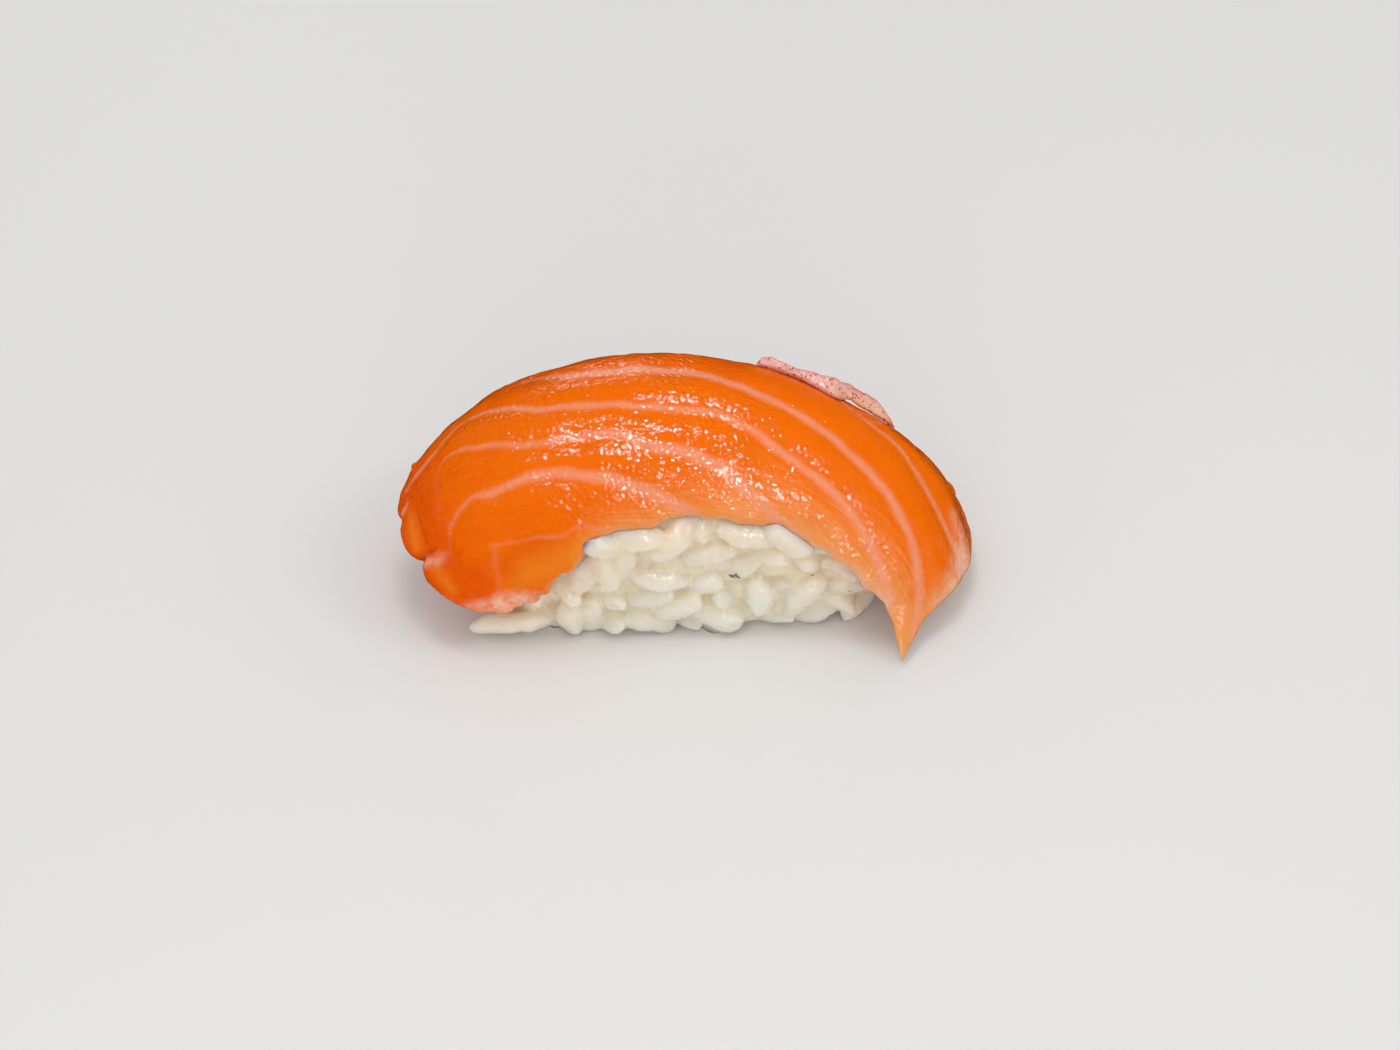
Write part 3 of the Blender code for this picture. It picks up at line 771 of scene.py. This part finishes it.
def surface_seats(rng, count, apart, inside, taken):
    """Seats scattered as far inside the outline as inside says. No seat is nearer than apart to another
    or to a taken one, and none is deep under the slice, where no grain is seen."""
    seats = list(taken)
    tries = rng.normal(size=(count, 3)) * rice_size
    points = RICE_CENTRE + tries / rice_reach(tries)[:, None]
    points -= outline_gap(points)[1] * inside
    points[:, 2] = np.maximum(points[:, 2], floor_level + 1.4 + 0.75 * (inside - 1.5))
    above = [slice_skin.ray_cast(rice_middle, Vector(point - RICE_CENTRE), FAR)[3] for point in points]
    covered = np.array([distance is not None for distance in above])
    deep_in = covered & (points[:, 2] > UNSEEN_ABOVE) & (np.abs(points[:, 1] + 0.5) < UNSEEN_WITHIN)
    for point in points[~deep_in]:
        if min(np.linalg.norm(np.array(seats) - point, axis=1)) > apart:
            seats.append(point)
    return np.array(seats[len(taken):])


def unit(vectors):
    """The vectors at length 1."""
    return vectors / np.linalg.norm(vectors, axis=-1, keepdims=True)


def settle(centres, axes, half_lengths, half_widths, layer, weight):
    """Pushes the grains apart, each as a row of balls, and holds them inside the outline, over the
    floor and under the slice. layer is how far inside the outline a grain's outer side seeks to lie. A
    grain of small weight moves less than its neighbours, and one of no weight stays."""
    balls = np.linspace(-1, 1, len(GRAIN_BALLS))
    owner = np.repeat(np.arange(len(centres)), len(balls))
    apart = owner[:, None] != owner[None]
    free = (weight > 0)[:, None]
    for _ in range(SETTLE_ROUNDS):
        reach = (half_lengths - 0.9 * half_widths)[:, None] * balls
        places = (centres[:, None] + axes[:, None] * reach[..., None]).reshape(-1, 3)
        radius = np.repeat(half_widths, len(balls)) * np.tile(GRAIN_BALLS, len(centres))
        between = places[:, None] - places[None]
        distance = np.linalg.norm(between, axis=-1) + 1e-6
        overlap = np.clip(CLOSEST * (radius[:, None] + radius[None]) - distance, 0, None) * apart
        share = weight[owner][:, None] / (weight[owner][:, None] + weight[owner][None] + 1e-6)
        move = (between * (overlap * share / distance)[..., None]).sum(1)
        gap, out = outline_gap(places)
        move -= out * np.clip(radius - gap, 0, None)[:, None]
        nearest = (gap - radius).reshape(len(centres), -1).min(1)
        draw = np.clip(nearest - layer, -0.5, 0.5) * 0.25
        move += np.repeat(draw, len(balls))[:, None] * out
        move[:, 2] += np.clip(floor_level + 0.85 * radius - places[:, 2], 0, None)
        for i in np.flatnonzero(places[:, 2] > 4):
            near, normal, _, away = slice_skin.find_nearest(Vector(places[i]), 6.0)
            if near is not None:
                inside = (Vector(places[i]) - near).dot(normal) < 0
                short = 0.95 * radius[i] + (away if inside else -away)
                if short > 0:
                    move[i] += np.array(normal) * short
        moved = (places + SETTLE_STEP * move).reshape(len(centres), len(balls), 3)
        centres = np.where(free, moved.mean(1), centres)
        axes = np.where(free, unit((moved * balls[:, None]).sum(1)), axes)
    return centres, axes


def grain_norm(local, half_sizes, squareness):
    """How far out a point in a grain's own axes is: 1 on its surface."""
    scaled = np.abs(local) / half_sizes
    side = scaled[..., 1] ** 2.3 + scaled[..., 2] ** 2.3
    return (scaled[..., 0] ** squareness + side ** (squareness / 2.3)) ** (1 / squareness)


def shaped_grain(directions, half_sizes, squareness, taper, rng):
    """One cooked grain round its own middle: plump, grooved along both sides, blunter at one end, bent,
    and dented where the germ was."""
    points = directions * half_sizes
    points /= grain_norm(points, half_sizes, squareness)[:, None]
    along = points[:, 0] / half_sizes[0]
    points[:, 1:] *= (1 + taper * along)[:, None]
    around = np.arctan2(points[:, 2], points[:, 1])
    grooves = [np.exp(-((side / GROOVE_SPREAD) ** 2)) for side in (around, np.abs(around) - math.pi)]
    points[:, 1:] *= (1 - GROOVE_DEPTH * sum(grooves) * (1 - along**2))[:, None]
    germ = np.exp(-(((along - 0.8) / 0.22) ** 2) - ((around - 1.2) / 0.6) ** 2)
    points *= (1 - rng.uniform(0.08, 0.25) * germ)[:, None]
    points[:, 1] += rng.uniform(-GRAIN_BEND, GRAIN_BEND) * along**2
    return points * (1 + GRAIN_SWELL * uneven(points, 2.0, rng.integers(1000)))[:, None]


def placed_grains():
    """Every grain's centre, its three axes, its half sizes and its squareness, once they have settled."""
    rng = np.random.default_rng(11)
    stray = len(FRONT_GRAINS)
    places = np.array(FRONT_GRAINS)
    front = np.stack([places[:, 0], STRAY_GRAIN[1] + places[:, 4], places[:, 1]], -1)
    leans, outs = np.radians(places[:, 2]), np.radians(places[:, 3])
    front_lie = np.stack([np.cos(leans) * np.cos(outs), -np.sin(outs), np.sin(leans) * np.cos(outs)], -1)
    known = np.concatenate([front, [STRAY_GRAIN]])
    known_lie = np.concatenate([front_lie, [STRAY_LIE]])
    known_ends = np.concatenate([known + reach * known_lie for reach in (-2.4, 0, 2.4)])
    outer = surface_seats(rng, count=5000, apart=3.5, inside=1.5, taken=known_ends)
    inner = surface_seats(rng, count=2500, apart=4.6, inside=4.2, taken=RICE_CENTRE[None])
    seats = np.concatenate([known, outer, inner])
    lie = rng.normal(size=seats.shape)
    lie -= 0.85 * outline_gap(seats)[1] * (lie * outline_gap(seats)[1]).sum(1)[:, None]
    axes = unit(lie)
    axes[: len(known)] = unit(known_lie)
    count = len(seats)
    half_lengths = rng.uniform(0.84, 1.06, count) * GRAIN_LENGTH / 2
    half_widths = rng.uniform(0.9, 1.08, count) * GRAIN_WIDTH / 2
    half_lengths[stray], half_widths[stray] = STRAY_HALF_SIZES
    half_thick = half_widths * GRAIN_THICKNESS / GRAIN_WIDTH
    outermost = np.arange(count) < len(known) + len(outer)
    layer = np.where(outermost, rng.uniform(-0.1, 1.0, count), 3.0)
    # The grains that fill in the front lie a little behind those placed there.
    layer[outermost & (seats[:, 1] < -7)] += 0.3
    layer[:stray] = places[:, 4]
    weight = np.where(np.arange(count) < stray, 0.02, 1.0)
    weight[stray] = 0
    centres, axes = settle(seats, axes, half_lengths, (half_widths + half_thick) / 2, layer, weight)
    half_lengths[stray] += STRAY_RUN
    centres[stray] += STRAY_RUN * axes[stray]

    # Each grain lies with its flatter side out.
    out = outline_gap(centres)[1] + rng.normal(size=centres.shape) * 0.35
    thick = unit(out - axes * (out * axes).sum(1)[:, None])
    turns = np.stack([axes, np.cross(thick, axes), thick], 1)
    half_sizes = np.stack([half_lengths, half_widths, half_thick], 1)
    return centres, turns, half_sizes, rng.uniform(2.1, 2.7, count), rng


def rice_core():
    """The rice behind the whole grains: a lumpy block, its outline drawn in by CORE_DEPTH."""
    bm = bmesh.new()
    bmesh.ops.create_icosphere(bm, subdivisions=5, radius=1.0)
    offsets = np.array([v.co for v in bm.verts]) * rice_size
    points = RICE_CENTRE + offsets / rice_reach(offsets)[:, None]
    depth = CORE_DEPTH + 0.9 * uneven(points, 2.2, 4) + 0.4 * uneven(points, 0.9, 5)
    points -= outline_gap(points)[1] * depth[:, None]
    points[:, 2] = np.maximum(points[:, 2], floor_level + 0.9)
    faces = [[v.index for v in f.verts] for f in bm.faces]
    bm.free()
    return points, faces


def fused(name, points, faces):
    """The outer skin of closed bodies that overlap, joined where they touch, its creases softened."""
    loose = bpy.data.meshes.new(name)
    loose.from_pydata(points.tolist(), [], faces)
    carrier = bpy.data.objects.new(name, loose)
    bpy.context.scene.collection.objects.link(carrier)
    remesh = carrier.modifiers.new("remesh", "REMESH")
    remesh.mode = "VOXEL"
    remesh.voxel_size = FUSE_STEP
    smooth = carrier.modifiers.new("smooth", "SMOOTH")
    smooth.factor, smooth.iterations = 0.5, 2
    thin_out = carrier.modifiers.new("thin out", "DECIMATE")
    thin_out.ratio = FUSE_KEEP
    seen = carrier.evaluated_get(bpy.context.evaluated_depsgraph_get())
    bm = bmesh.new()
    bm.from_mesh(seen.to_mesh())
    seen.to_mesh_clear()
    bpy.data.objects.remove(carrier)
    bpy.data.meshes.remove(loose)

    # Shut-in hollows leave skins of their own, which face inward and go.
    left = set(bm.verts)
    hollows = []
    while left:
        island, edge = [], [left.pop()]
        while edge:
            vertex = edge.pop()
            island.append(vertex)
            for beyond in (e.other_vert(vertex) for e in vertex.link_edges):
                if beyond in left:
                    left.remove(beyond)
                    edge.append(beyond)
        if len(island) < HOLLOW_SIZE:
            hollows += island
    bmesh.ops.delete(bm, geom=hollows, context="VERTS")
    mesh = bpy.data.meshes.new(name)
    bm.to_mesh(mesh)
    bm.free()
    mesh.shade_smooth()
    return mesh


def grain_marks(points, centres, turns, half_sizes, squareness, tones):
    """For each place: its grain's tone, how near the grain's heart it is, how deep in a gap, how near the
    salmon it is, for painted orange bounce light, and how near the slice's edge, for painted light there."""
    first, second = np.full(len(points), 9.0), np.full(len(points), 9.0)
    tone, heart = np.full(len(points), 0.5), np.zeros(len(points))
    for i, centre in enumerate(centres):
        near = np.flatnonzero(((points - centre) ** 2).sum(1) < (0.8 * GRAIN_LENGTH) ** 2)
        local = (points[near] - centre) @ turns[i].T
        norm = grain_norm(local, half_sizes[i], squareness[i])
        closer = norm < first[near]
        second[near] = np.where(closer, first[near], np.minimum(second[near], norm))
        nearer = near[closer]
        first[nearer], tone[nearer] = norm[closer], tones[i]
        heart[nearer] = 1 - np.abs(local[closer, 0]) / half_sizes[i, 0]
    # The gap mark carries painted light: the material gives the gaps a warm light cream for the light that
    # bounces between grains.
    gap = np.clip(1 - (second - first) / 0.25, 0, 1) + np.clip((first - 1.05) / 0.3, 0, 1)
    away = np.array([slice_skin.find_nearest(Vector(point), 9.0)[3] or 9.0 for point in points])
    # Painted light: blush is the share of the salmon's orange bounce light that is painted on the rice
    # near it.
    blush = profile(away, (0, 1), (3, 0.5), (9, 0))
    # Painted light: film lightens the rice right at the slice's edge, where the slice's shade falls.
    film = profile(away, (0, 1), (0.6, 0.7), (1.8, 0))
    marks = {"tone": tone, "heart": heart, "gap": gap, "blush": blush, "film": film}
    return {name: np.clip(values, 0, 1) for name, values in marks.items()}


def edge_above(offset, length):
    """How far out the slice's edge is that lies above a ray from the rice's middle, and how near the
    ray it is: 1 on it, 0 where it takes a rise of EDGE_EASE to meet it."""
    low, high, found = 0.0, 2 * EDGE_EASE, length
    for _ in range(7):
        slope = (low + high) / 2
        meets = slice_skin.ray_cast(rice_middle, Vector(offset + (0, 0, slope * length)), length)[3]
        if meets is None:
            low = slope
        else:
            high, found = slope, meets
    near = max(0.0, 1 - high / EDGE_EASE)
    return found, near * near * (3 - 2 * near)


def pressed_on(points):
    """The points under the slice, moved in or out until a film of water parts them from it. Those deep
    in a gap between grains move out less, and at the back none move out along the slice's underside.
    Below its back edge the rice comes out little by little. Just outside its front edge, moist starch
    climbs to meet it."""
    kept = points.copy()
    for i in np.flatnonzero(points[:, 2] > PRESS_ABOVE):
        offset = points[i] - RICE_CENTRE
        length = np.linalg.norm(offset)
        _, facing, _, hit = slice_skin.ray_cast(rice_middle, Vector(offset), length + PRESS_DEPTH)
        if hit is not None:
            short = hit - WATER_FILM - length
            share = 1 - np.clip(short / (PRESS_DEPTH - WATER_FILM), 0, 1) ** 2
            if short > 0 and points[i, 1] > 0:
                share *= profile(abs(np.dot(facing, offset)) / length, (0.35, 0), (0.65, 1))
            kept[i] += offset * short * share / length
        elif points[i, 1] > 0:
            reach, share = edge_above(offset, length)
            kept[i] += offset * min(0.0, reach - WATER_FILM - length) * share / length
        elif points[i, 1] < STARCH_FRONT:
            near, _, _, away = slice_skin.find_nearest(Vector(points[i]), STARCH_CLIMB)
            if near is not None:
                share = (1 - away / STARCH_CLIMB) * max(0.0, 1 - WATER_FILM / max(away, WATER_FILM))
                kept[i] += (np.array(near) - points[i]) * share
    return kept


def all_grains():
    """Shapes the grains, joins them and the core into one skin, and marks each grain's share of it."""
    centres, turns, half_sizes, squareness, rng = placed_grains()
    bm = bmesh.new()
    bmesh.ops.create_uvsphere(bm, u_segments=20, v_segments=14, radius=1.0)
    # The poles go to the grain's two ends.
    directions = np.array([v.co for v in bm.verts])[:, [2, 0, 1]]
    grain_faces = [[v.index for v in f.verts] for f in bm.faces]
    bm.free()
    points, faces = rice_core()
    points = [points]
    for i in range(len(centres)):
        start = sum(len(body) for body in points)
        taper = 0.0 if i == len(FRONT_GRAINS) else rng.uniform(-GRAIN_TAPER, GRAIN_TAPER)
        grain = shaped_grain(directions, half_sizes[i], squareness[i], taper, rng)
        points.append(centres[i] + grain @ turns[i])
        faces += [[v + start for v in face] for face in grain_faces]
    mesh = fused("rice_grains", np.concatenate(points), faces)
    skin = mesh_points(mesh)
    normals = np.empty(len(skin) * 3)
    mesh.vertices.foreach_get("normal", normals)
    relief = swellings(skin, (0.1, 1.3, 6), (0.05, 0.6, 7))
    skin = pressed_on(skin + relief[:, None] * normals.reshape(-1, 3))
    skin[:, 2] = np.maximum(skin[:, 2], floor_level)
    mesh.vertices.foreach_set("co", skin.ravel())
    tones = rng.uniform(size=len(centres))
    put_marks(mesh, grain_marks(skin, centres, turns, half_sizes, squareness, tones))
    mesh.shade_smooth()
    return mesh


def rice_finish():
    """Cooked rice: clear greyish white, milkier at a grain's heart, moist. Painted light: a warm light
    cream in the gaps, orange bounce light near the salmon, and a paler lift right at the slice's edge.
    """
    material, tree, shader, here = new_material(
        "cooked_rice",
        Subsurface_Weight=1.0,
        Subsurface_Radius=(1.0, 1.0, 0.95),
        Subsurface_Scale=5.0 * MM,
        IOR=1.4,
        Specular_IOR_Level=0.25,
    )
    cloud = grain_noise(tree, here, 1.6 * MM, 3.0, 0.6)
    milk = stirred(tree, mark(tree, "heart"), cloud, 0.9)
    clear = blend(tree, mark(tree, "tone"), (0.77, 0.7, 0.56, 1), (0.8, 0.74, 0.61, 1))
    colour = blend(tree, remap(tree, milk, 0.0, 0.9), clear, (0.79, 0.74, 0.63, 1))
    # Painted light: the gaps take a warm light cream, the rice near the salmon its orange bounce light,
    # and the rice at the slice's edge a paler lift against the shade there.
    for name, strength, over in (
        ("gap", 0.8, (0.88, 0.79, 0.58, 1)),
        ("blush", 0.7, (0.9, 0.66, 0.46, 1)),
        ("film", 0.85, (0.98, 0.86, 0.72, 1)),
    ):
        colour = blend(tree, maths(tree, "MULTIPLY", mark(tree, name), strength), colour, over)
    plug(tree, colour, shader.inputs["Base Color"])
    film_sizes = {"bead": 0.5, "patch": 2.5, "depth": 0.06}
    wet_skin(tree, shader, here, **film_sizes, roughness=(0.14, 0.35), strength=0.8, under=cloud)
    return material


rice_mesh = all_grains()
show(rice_mesh, rice_finish(), "rice_mound")

# --------------------------------------------------------------------------------------------------------
# A few specks of dried herb that fell on the open front of the rice: flat crumbs, dark green, brown and
# straw yellow, stuck to the moist grains.

# Each speck: its place across and up the front, its length and width, its lean in degrees, and its tone
# from 0, dark, to 1, straw.
HERB_SPECKS = [
    (4.7, 9.6, 0.6, 0.32, -10, 0.1), (5.15, 9.75, 0.55, 0.28, 25, 0.5), (5.5, 9.55, 0.5, 0.3, -30, 0.0),
    (5.05, 9.35, 0.45, 0.24, 5, 0.9), (5.25, 9.95, 0.32, 0.22, 60, 0.0), (19.0, 5.4, 0.3, 0.2, 30, 0.3),
    (14.4, 8.8, 0.4, 0.26, -40, 1.0), (-0.4, 7.4, 0.16, 0.12, 0, 0.6),
]
HERB_THICKNESS = 0.12


def herb_specks():
    """Crumbs laid on the rice's front, each turned to lie flat where it stuck."""
    rng = np.random.default_rng(5)
    rice_points = mesh_points(rice_mesh) / MM - to_frame
    rice_skin = BVHTree.FromPolygons(rice_points.tolist(), [tuple(p.vertices) for p in rice_mesh.polygons])
    bm = bmesh.new()
    tones = []
    for x, z, length, width, lean, tone in HERB_SPECKS:
        seat, normal = rice_skin.ray_cast(Vector((x, -40, z)), Vector((0, 1, 0)))[:2]
        made = bmesh.ops.create_icosphere(bm, subdivisions=3, radius=0.5)["verts"]
        along = Vector((math.cos(math.radians(lean)), 0, math.sin(math.radians(lean))))
        along = (along - along.dot(normal) * normal).normalized()
        beside = normal.cross(along)
        swell = uneven(np.array([v.co for v in made]), 0.35, rng.integers(1000))
        for vertex, more in zip(made, swell):
            flake = vertex.co * (1 + 0.9 * more)
            flat = seat + length * flake.x * along + width * flake.y * beside
            vertex.co = flat + HERB_THICKNESS * flake.z * normal
        tones += [tone] * len(made)
    mesh = bpy.data.meshes.new("herb_specks")
    bm.to_mesh(mesh)
    bm.free()
    put_marks(mesh, {"tone": np.array(tones)})
    mesh.shade_smooth()
    return mesh


def herb_finish():
    """Dried leaf: dark olive and brown, straw yellow in places, wrinkled."""
    material, tree, shader, here = new_material("dried_herb", Specular_IOR_Level=0.4)
    mottle = grain_noise(tree, here, 0.25 * MM, 3.0, 0.7)
    leaf = blend(tree, mark(tree, "tone"), (0.13, 0.08, 0.012, 1), (0.62, 0.42, 0.05, 1))
    leaf = blend(tree, remap(tree, mottle, 0.45, 0.65, 0.0, 0.7), leaf, (0.3, 0.2, 0.02, 1))
    plug(tree, leaf, shader.inputs["Base Color"])
    bump = add(tree, "Bump", Strength=0.8, Distance=0.05 * MM, Height=mottle)
    plug(tree, bump.outputs["Normal"], shader.inputs["Normal"])
    plug(tree, remap(tree, mottle, 0.3, 0.7, 0.4, 0.7), shader.inputs["Roughness"])
    return material


show(herb_specks(), herb_finish(), "rice_mound")

# --------------------------------------------------------------------------------------------------------
# The pink trimming: a thin ragged shred of the lean next to the skin, freckled with red. It stayed
# stuck to the back shoulder of the slice, and lifts clear of it towards the right.

SHRED_TURNS = (19.0, 50.0)
SHRED_THICKNESS = 0.7
SHRED_SEGMENTS = (120, 24)
SHRED_LEAN = np.array((0.0, 0.93, 0.37))
SHRED_FACE = np.array((0.0, -0.37, 0.93))
SHRED_GAP = 0.08


def shred_surface(along, across, lower):
    """The shred's upper or lower face: it spreads back and a little up from its seat on the slice."""
    start, end = SHRED_TURNS
    turn = start + (end - start) * (along + 1) / 2
    width = profile(
        along,
        (-1, 0.3), (-0.93, 1.2), (-0.8, 1.6), (-0.5, 1.3), (-0.2, 2.3), (0.0, 2.7), (0.15, 2.1),
        (0.4, 2.2), (0.7, 2.3), (0.85, 1.5), (1, 0.2),
    )
    width *= 1 + 0.035 * np.sin(13 * along) + 0.015 * np.sin(47 * along + 1)
    lift = profile(along, (-1, 0), (0.08, 0), (0.25, 0.24), (0.4, 0), (1, 0))
    hold = profile(
        along,
        (-1, 0.42), (-0.5, 0.38), (-0.1, 0.25), (0.0, 0.25), (0.24, 0.34), (0.35, 0.35), (0.6, 0.34),
        (1, 0.32),
    )
    seat = drape(turn, hold) + (SHRED_GAP + lift)[..., None] * outward(turn, hold)
    thickness = SHRED_THICKNESS * rounded(1 - np.abs(across), 0.5) * rounded(1 - np.abs(along), 0.1)
    spread = width * (across + 1) / 2
    # It is flat below and swells above.
    rise = (-0.05 if lower else 0.95) * thickness + 0.1 * np.sin(7 * along) * (across + 1) / 2
    ripple = 0.05 * np.sin(13 * along + 3 * across) + 0.04 * np.sin(5 * across + 27 * along)
    rise += ripple * (across + 1) / 2
    return seat + spread[..., None] * SHRED_LEAN + rise[..., None] * SHRED_FACE


def shred_marks(along, across):
    """Where the shred is red, cream, or brown: its outer edge, its tail's inner edge, and its tip."""
    redness = profile(along, (-1, 0.9), (-0.6, 0.4), (-0.1, 0.5), (0.5, 1))
    return {
        "rim": profile(across, (0.35, 0), (0.85, 1)) * redness,
        "cream": profile(across, (-0.9, 1), (0.3, 0)) * profile(along, (-0.1, 0), (0.3, 1)),
        "tip": profile(along, (0.85, 0), (0.97, 1)),
    }


def shred_finish():
    """Pale pink, freckled with red, redder along its outer edge, and moist."""
    material, tree, shader, here = new_material(
        "pink_trimming",
        Subsurface_Weight=0.4,
        Subsurface_Radius=(1.0, 0.4, 0.3),
        Subsurface_Scale=0.8 * MM,
        Specular_IOR_Level=0.15,
    )
    mottle = grain_noise(tree, here, 1.2 * MM, 3.0, 0.65)
    flesh = blend(tree, remap(tree, mottle, 0.35, 0.65), (0.8, 0.5, 0.42, 1), (0.76, 0.34, 0.27, 1))
    cream = maths(tree, "MULTIPLY", mark(tree, "cream"), 0.8)
    flesh = blend(tree, cream, flesh, (0.82, 0.5, 0.28, 1))
    freckles = add(tree, "TexVoronoi", Vector=here, Scale=1 / (0.48 * MM)).outputs["Distance"]
    freckles = remap(tree, freckles, 0.38, 0.14)
    red = maths(tree, "MULTIPLY", freckles, remap(tree, mottle, 0.3, 0.55, 0.3, 1.0))
    flesh = blend(tree, red, flesh, (0.45, 0.035, 0.035, 1))
    rim = maths(tree, "MULTIPLY", mark(tree, "rim"), remap(tree, mottle, 0.3, 0.6, 0.3, 1.0))
    flesh = blend(tree, rim, flesh, (0.66, 0.07, 0.07, 1))
    tip = maths(tree, "MULTIPLY", mark(tree, "tip"), 0.8)
    flesh = blend(tree, tip, flesh, (0.6, 0.2, 0.05, 1))
    plug(tree, flesh, shader.inputs["Base Color"])
    wet_skin(tree, shader, here, bead=0.5, patch=2, depth=0.04, roughness=(0.2, 0.4))
    return material


shred_mesh = slab("pink_trimming", SHRED_SEGMENTS, shred_surface, shred_marks)
show(shred_mesh, shred_finish(), "pink_shred")

# --------------------------------------------------------------------------------------------------------
# The floor is a plain pale sheet. Light comes from all round, from softboxes overhead, at the right and
# low in front, and from small lamps that only glint in wet surfaces. The camera looks down on the front.


def floor():
    """A pale matt sheet under everything."""
    bm = bmesh.new()
    bmesh.ops.create_grid(bm, x_segments=8, y_segments=8, size=2.0)
    mesh = bpy.data.meshes.new("floor")
    bm.to_mesh(mesh)
    bm.free()
    material, tree, shader, here = new_material("pale_floor", Roughness=0.42, Specular_IOR_Level=0.4)
    cloud = grain_noise(tree, here, 0.3, 2.0, 0.5)
    pale = blend(tree, cloud, (0.755, 0.747, 0.733, 1), (0.78, 0.772, 0.758, 1))
    plug(tree, pale, shader.inputs["Base Color"])
    mesh.materials.append(material)
    piece = bpy.data.objects.new("floor", mesh)
    bpy.context.scene.collection.objects.link(piece)
    piece.visible_glossy = False


def softbox(name, place, width, height, power, glint=False):
    """A lamp with a plain rectangular face, turned to the object. Lengths are in metres, and power in
    watts. A glint shows only as a reflection in wet surfaces, and any other lamp only as light."""
    lamp = bpy.data.lights.new(name, "AREA")
    lamp.shape = "RECTANGLE"
    lamp.size, lamp.size_y = width, height
    lamp.energy = power
    box = bpy.data.objects.new(name, lamp)
    box.location = place
    box.rotation_euler = (Vector(place) - object_middle).to_track_quat("Z", "Y").to_euler()
    box.visible_glossy = glint
    box.visible_diffuse = not glint
    bpy.context.scene.collection.objects.link(box)


floor()
object_middle = (Vector(cad_bounds[0]) + Vector(cad_bounds[1])) / 2
softbox("overhead", (-0.02, 0.0, 0.42), 0.16, 0.12, 0.3)
softbox("right", (0.26, -0.06, 0.32), 0.08, 0.08, 0.12)
softbox("front_fill", (-0.05, -0.62, 0.16), 0.35, 0.2, 0.7)
softbox("top_glint", (0.0, -0.01, 0.45), 0.11, 0.075, 2.0, glint=True)
softbox("left_glint", (-0.17, 0.02, 0.41), 0.06, 0.06, 0.9, glint=True)
softbox("back_glint", (-0.07, 0.43, 0.11), 0.12, 0.03, 0.13, glint=True)
softbox("front_glint", (0.09, -0.32, 0.3), 0.09, 0.07, 1.2, glint=True)
softbox("edge_glint", (0.2, -0.4, 0.13), 0.07, 0.055, 0.55, glint=True)
world = bpy.data.worlds.new("studio")
world.use_nodes = True
world.node_tree.nodes["Background"].inputs["Color"].default_value = (0.76, 0.765, 0.77, 1)
world.cycles_visibility.glossy = False
bpy.context.scene.world = world
bpy.context.scene.view_settings.view_transform = "Standard"

CAMERA_AZIMUTH, CAMERA_ELEVATION = math.radians(-3), math.radians(44)
CAMERA_DISTANCE = 0.7365
CAMERA_LENS = 157.2
FRAMING = Vector((1.56, -1.2, -4.68)) * MM
camera_data = bpy.data.cameras.new("camera")
camera_data.sensor_width = 36
camera_data.lens = CAMERA_LENS
camera = bpy.data.objects.new("camera", camera_data)
towards_camera = Vector((
    math.sin(CAMERA_AZIMUTH) * math.cos(CAMERA_ELEVATION),
    -math.cos(CAMERA_AZIMUTH) * math.cos(CAMERA_ELEVATION),
    math.sin(CAMERA_ELEVATION),
))
camera.location = object_middle + FRAMING + CAMERA_DISTANCE * towards_camera
camera.rotation_euler = towards_camera.to_track_quat("Z", "Y").to_euler()
bpy.context.scene.collection.objects.link(camera)
bpy.context.scene.camera = camera
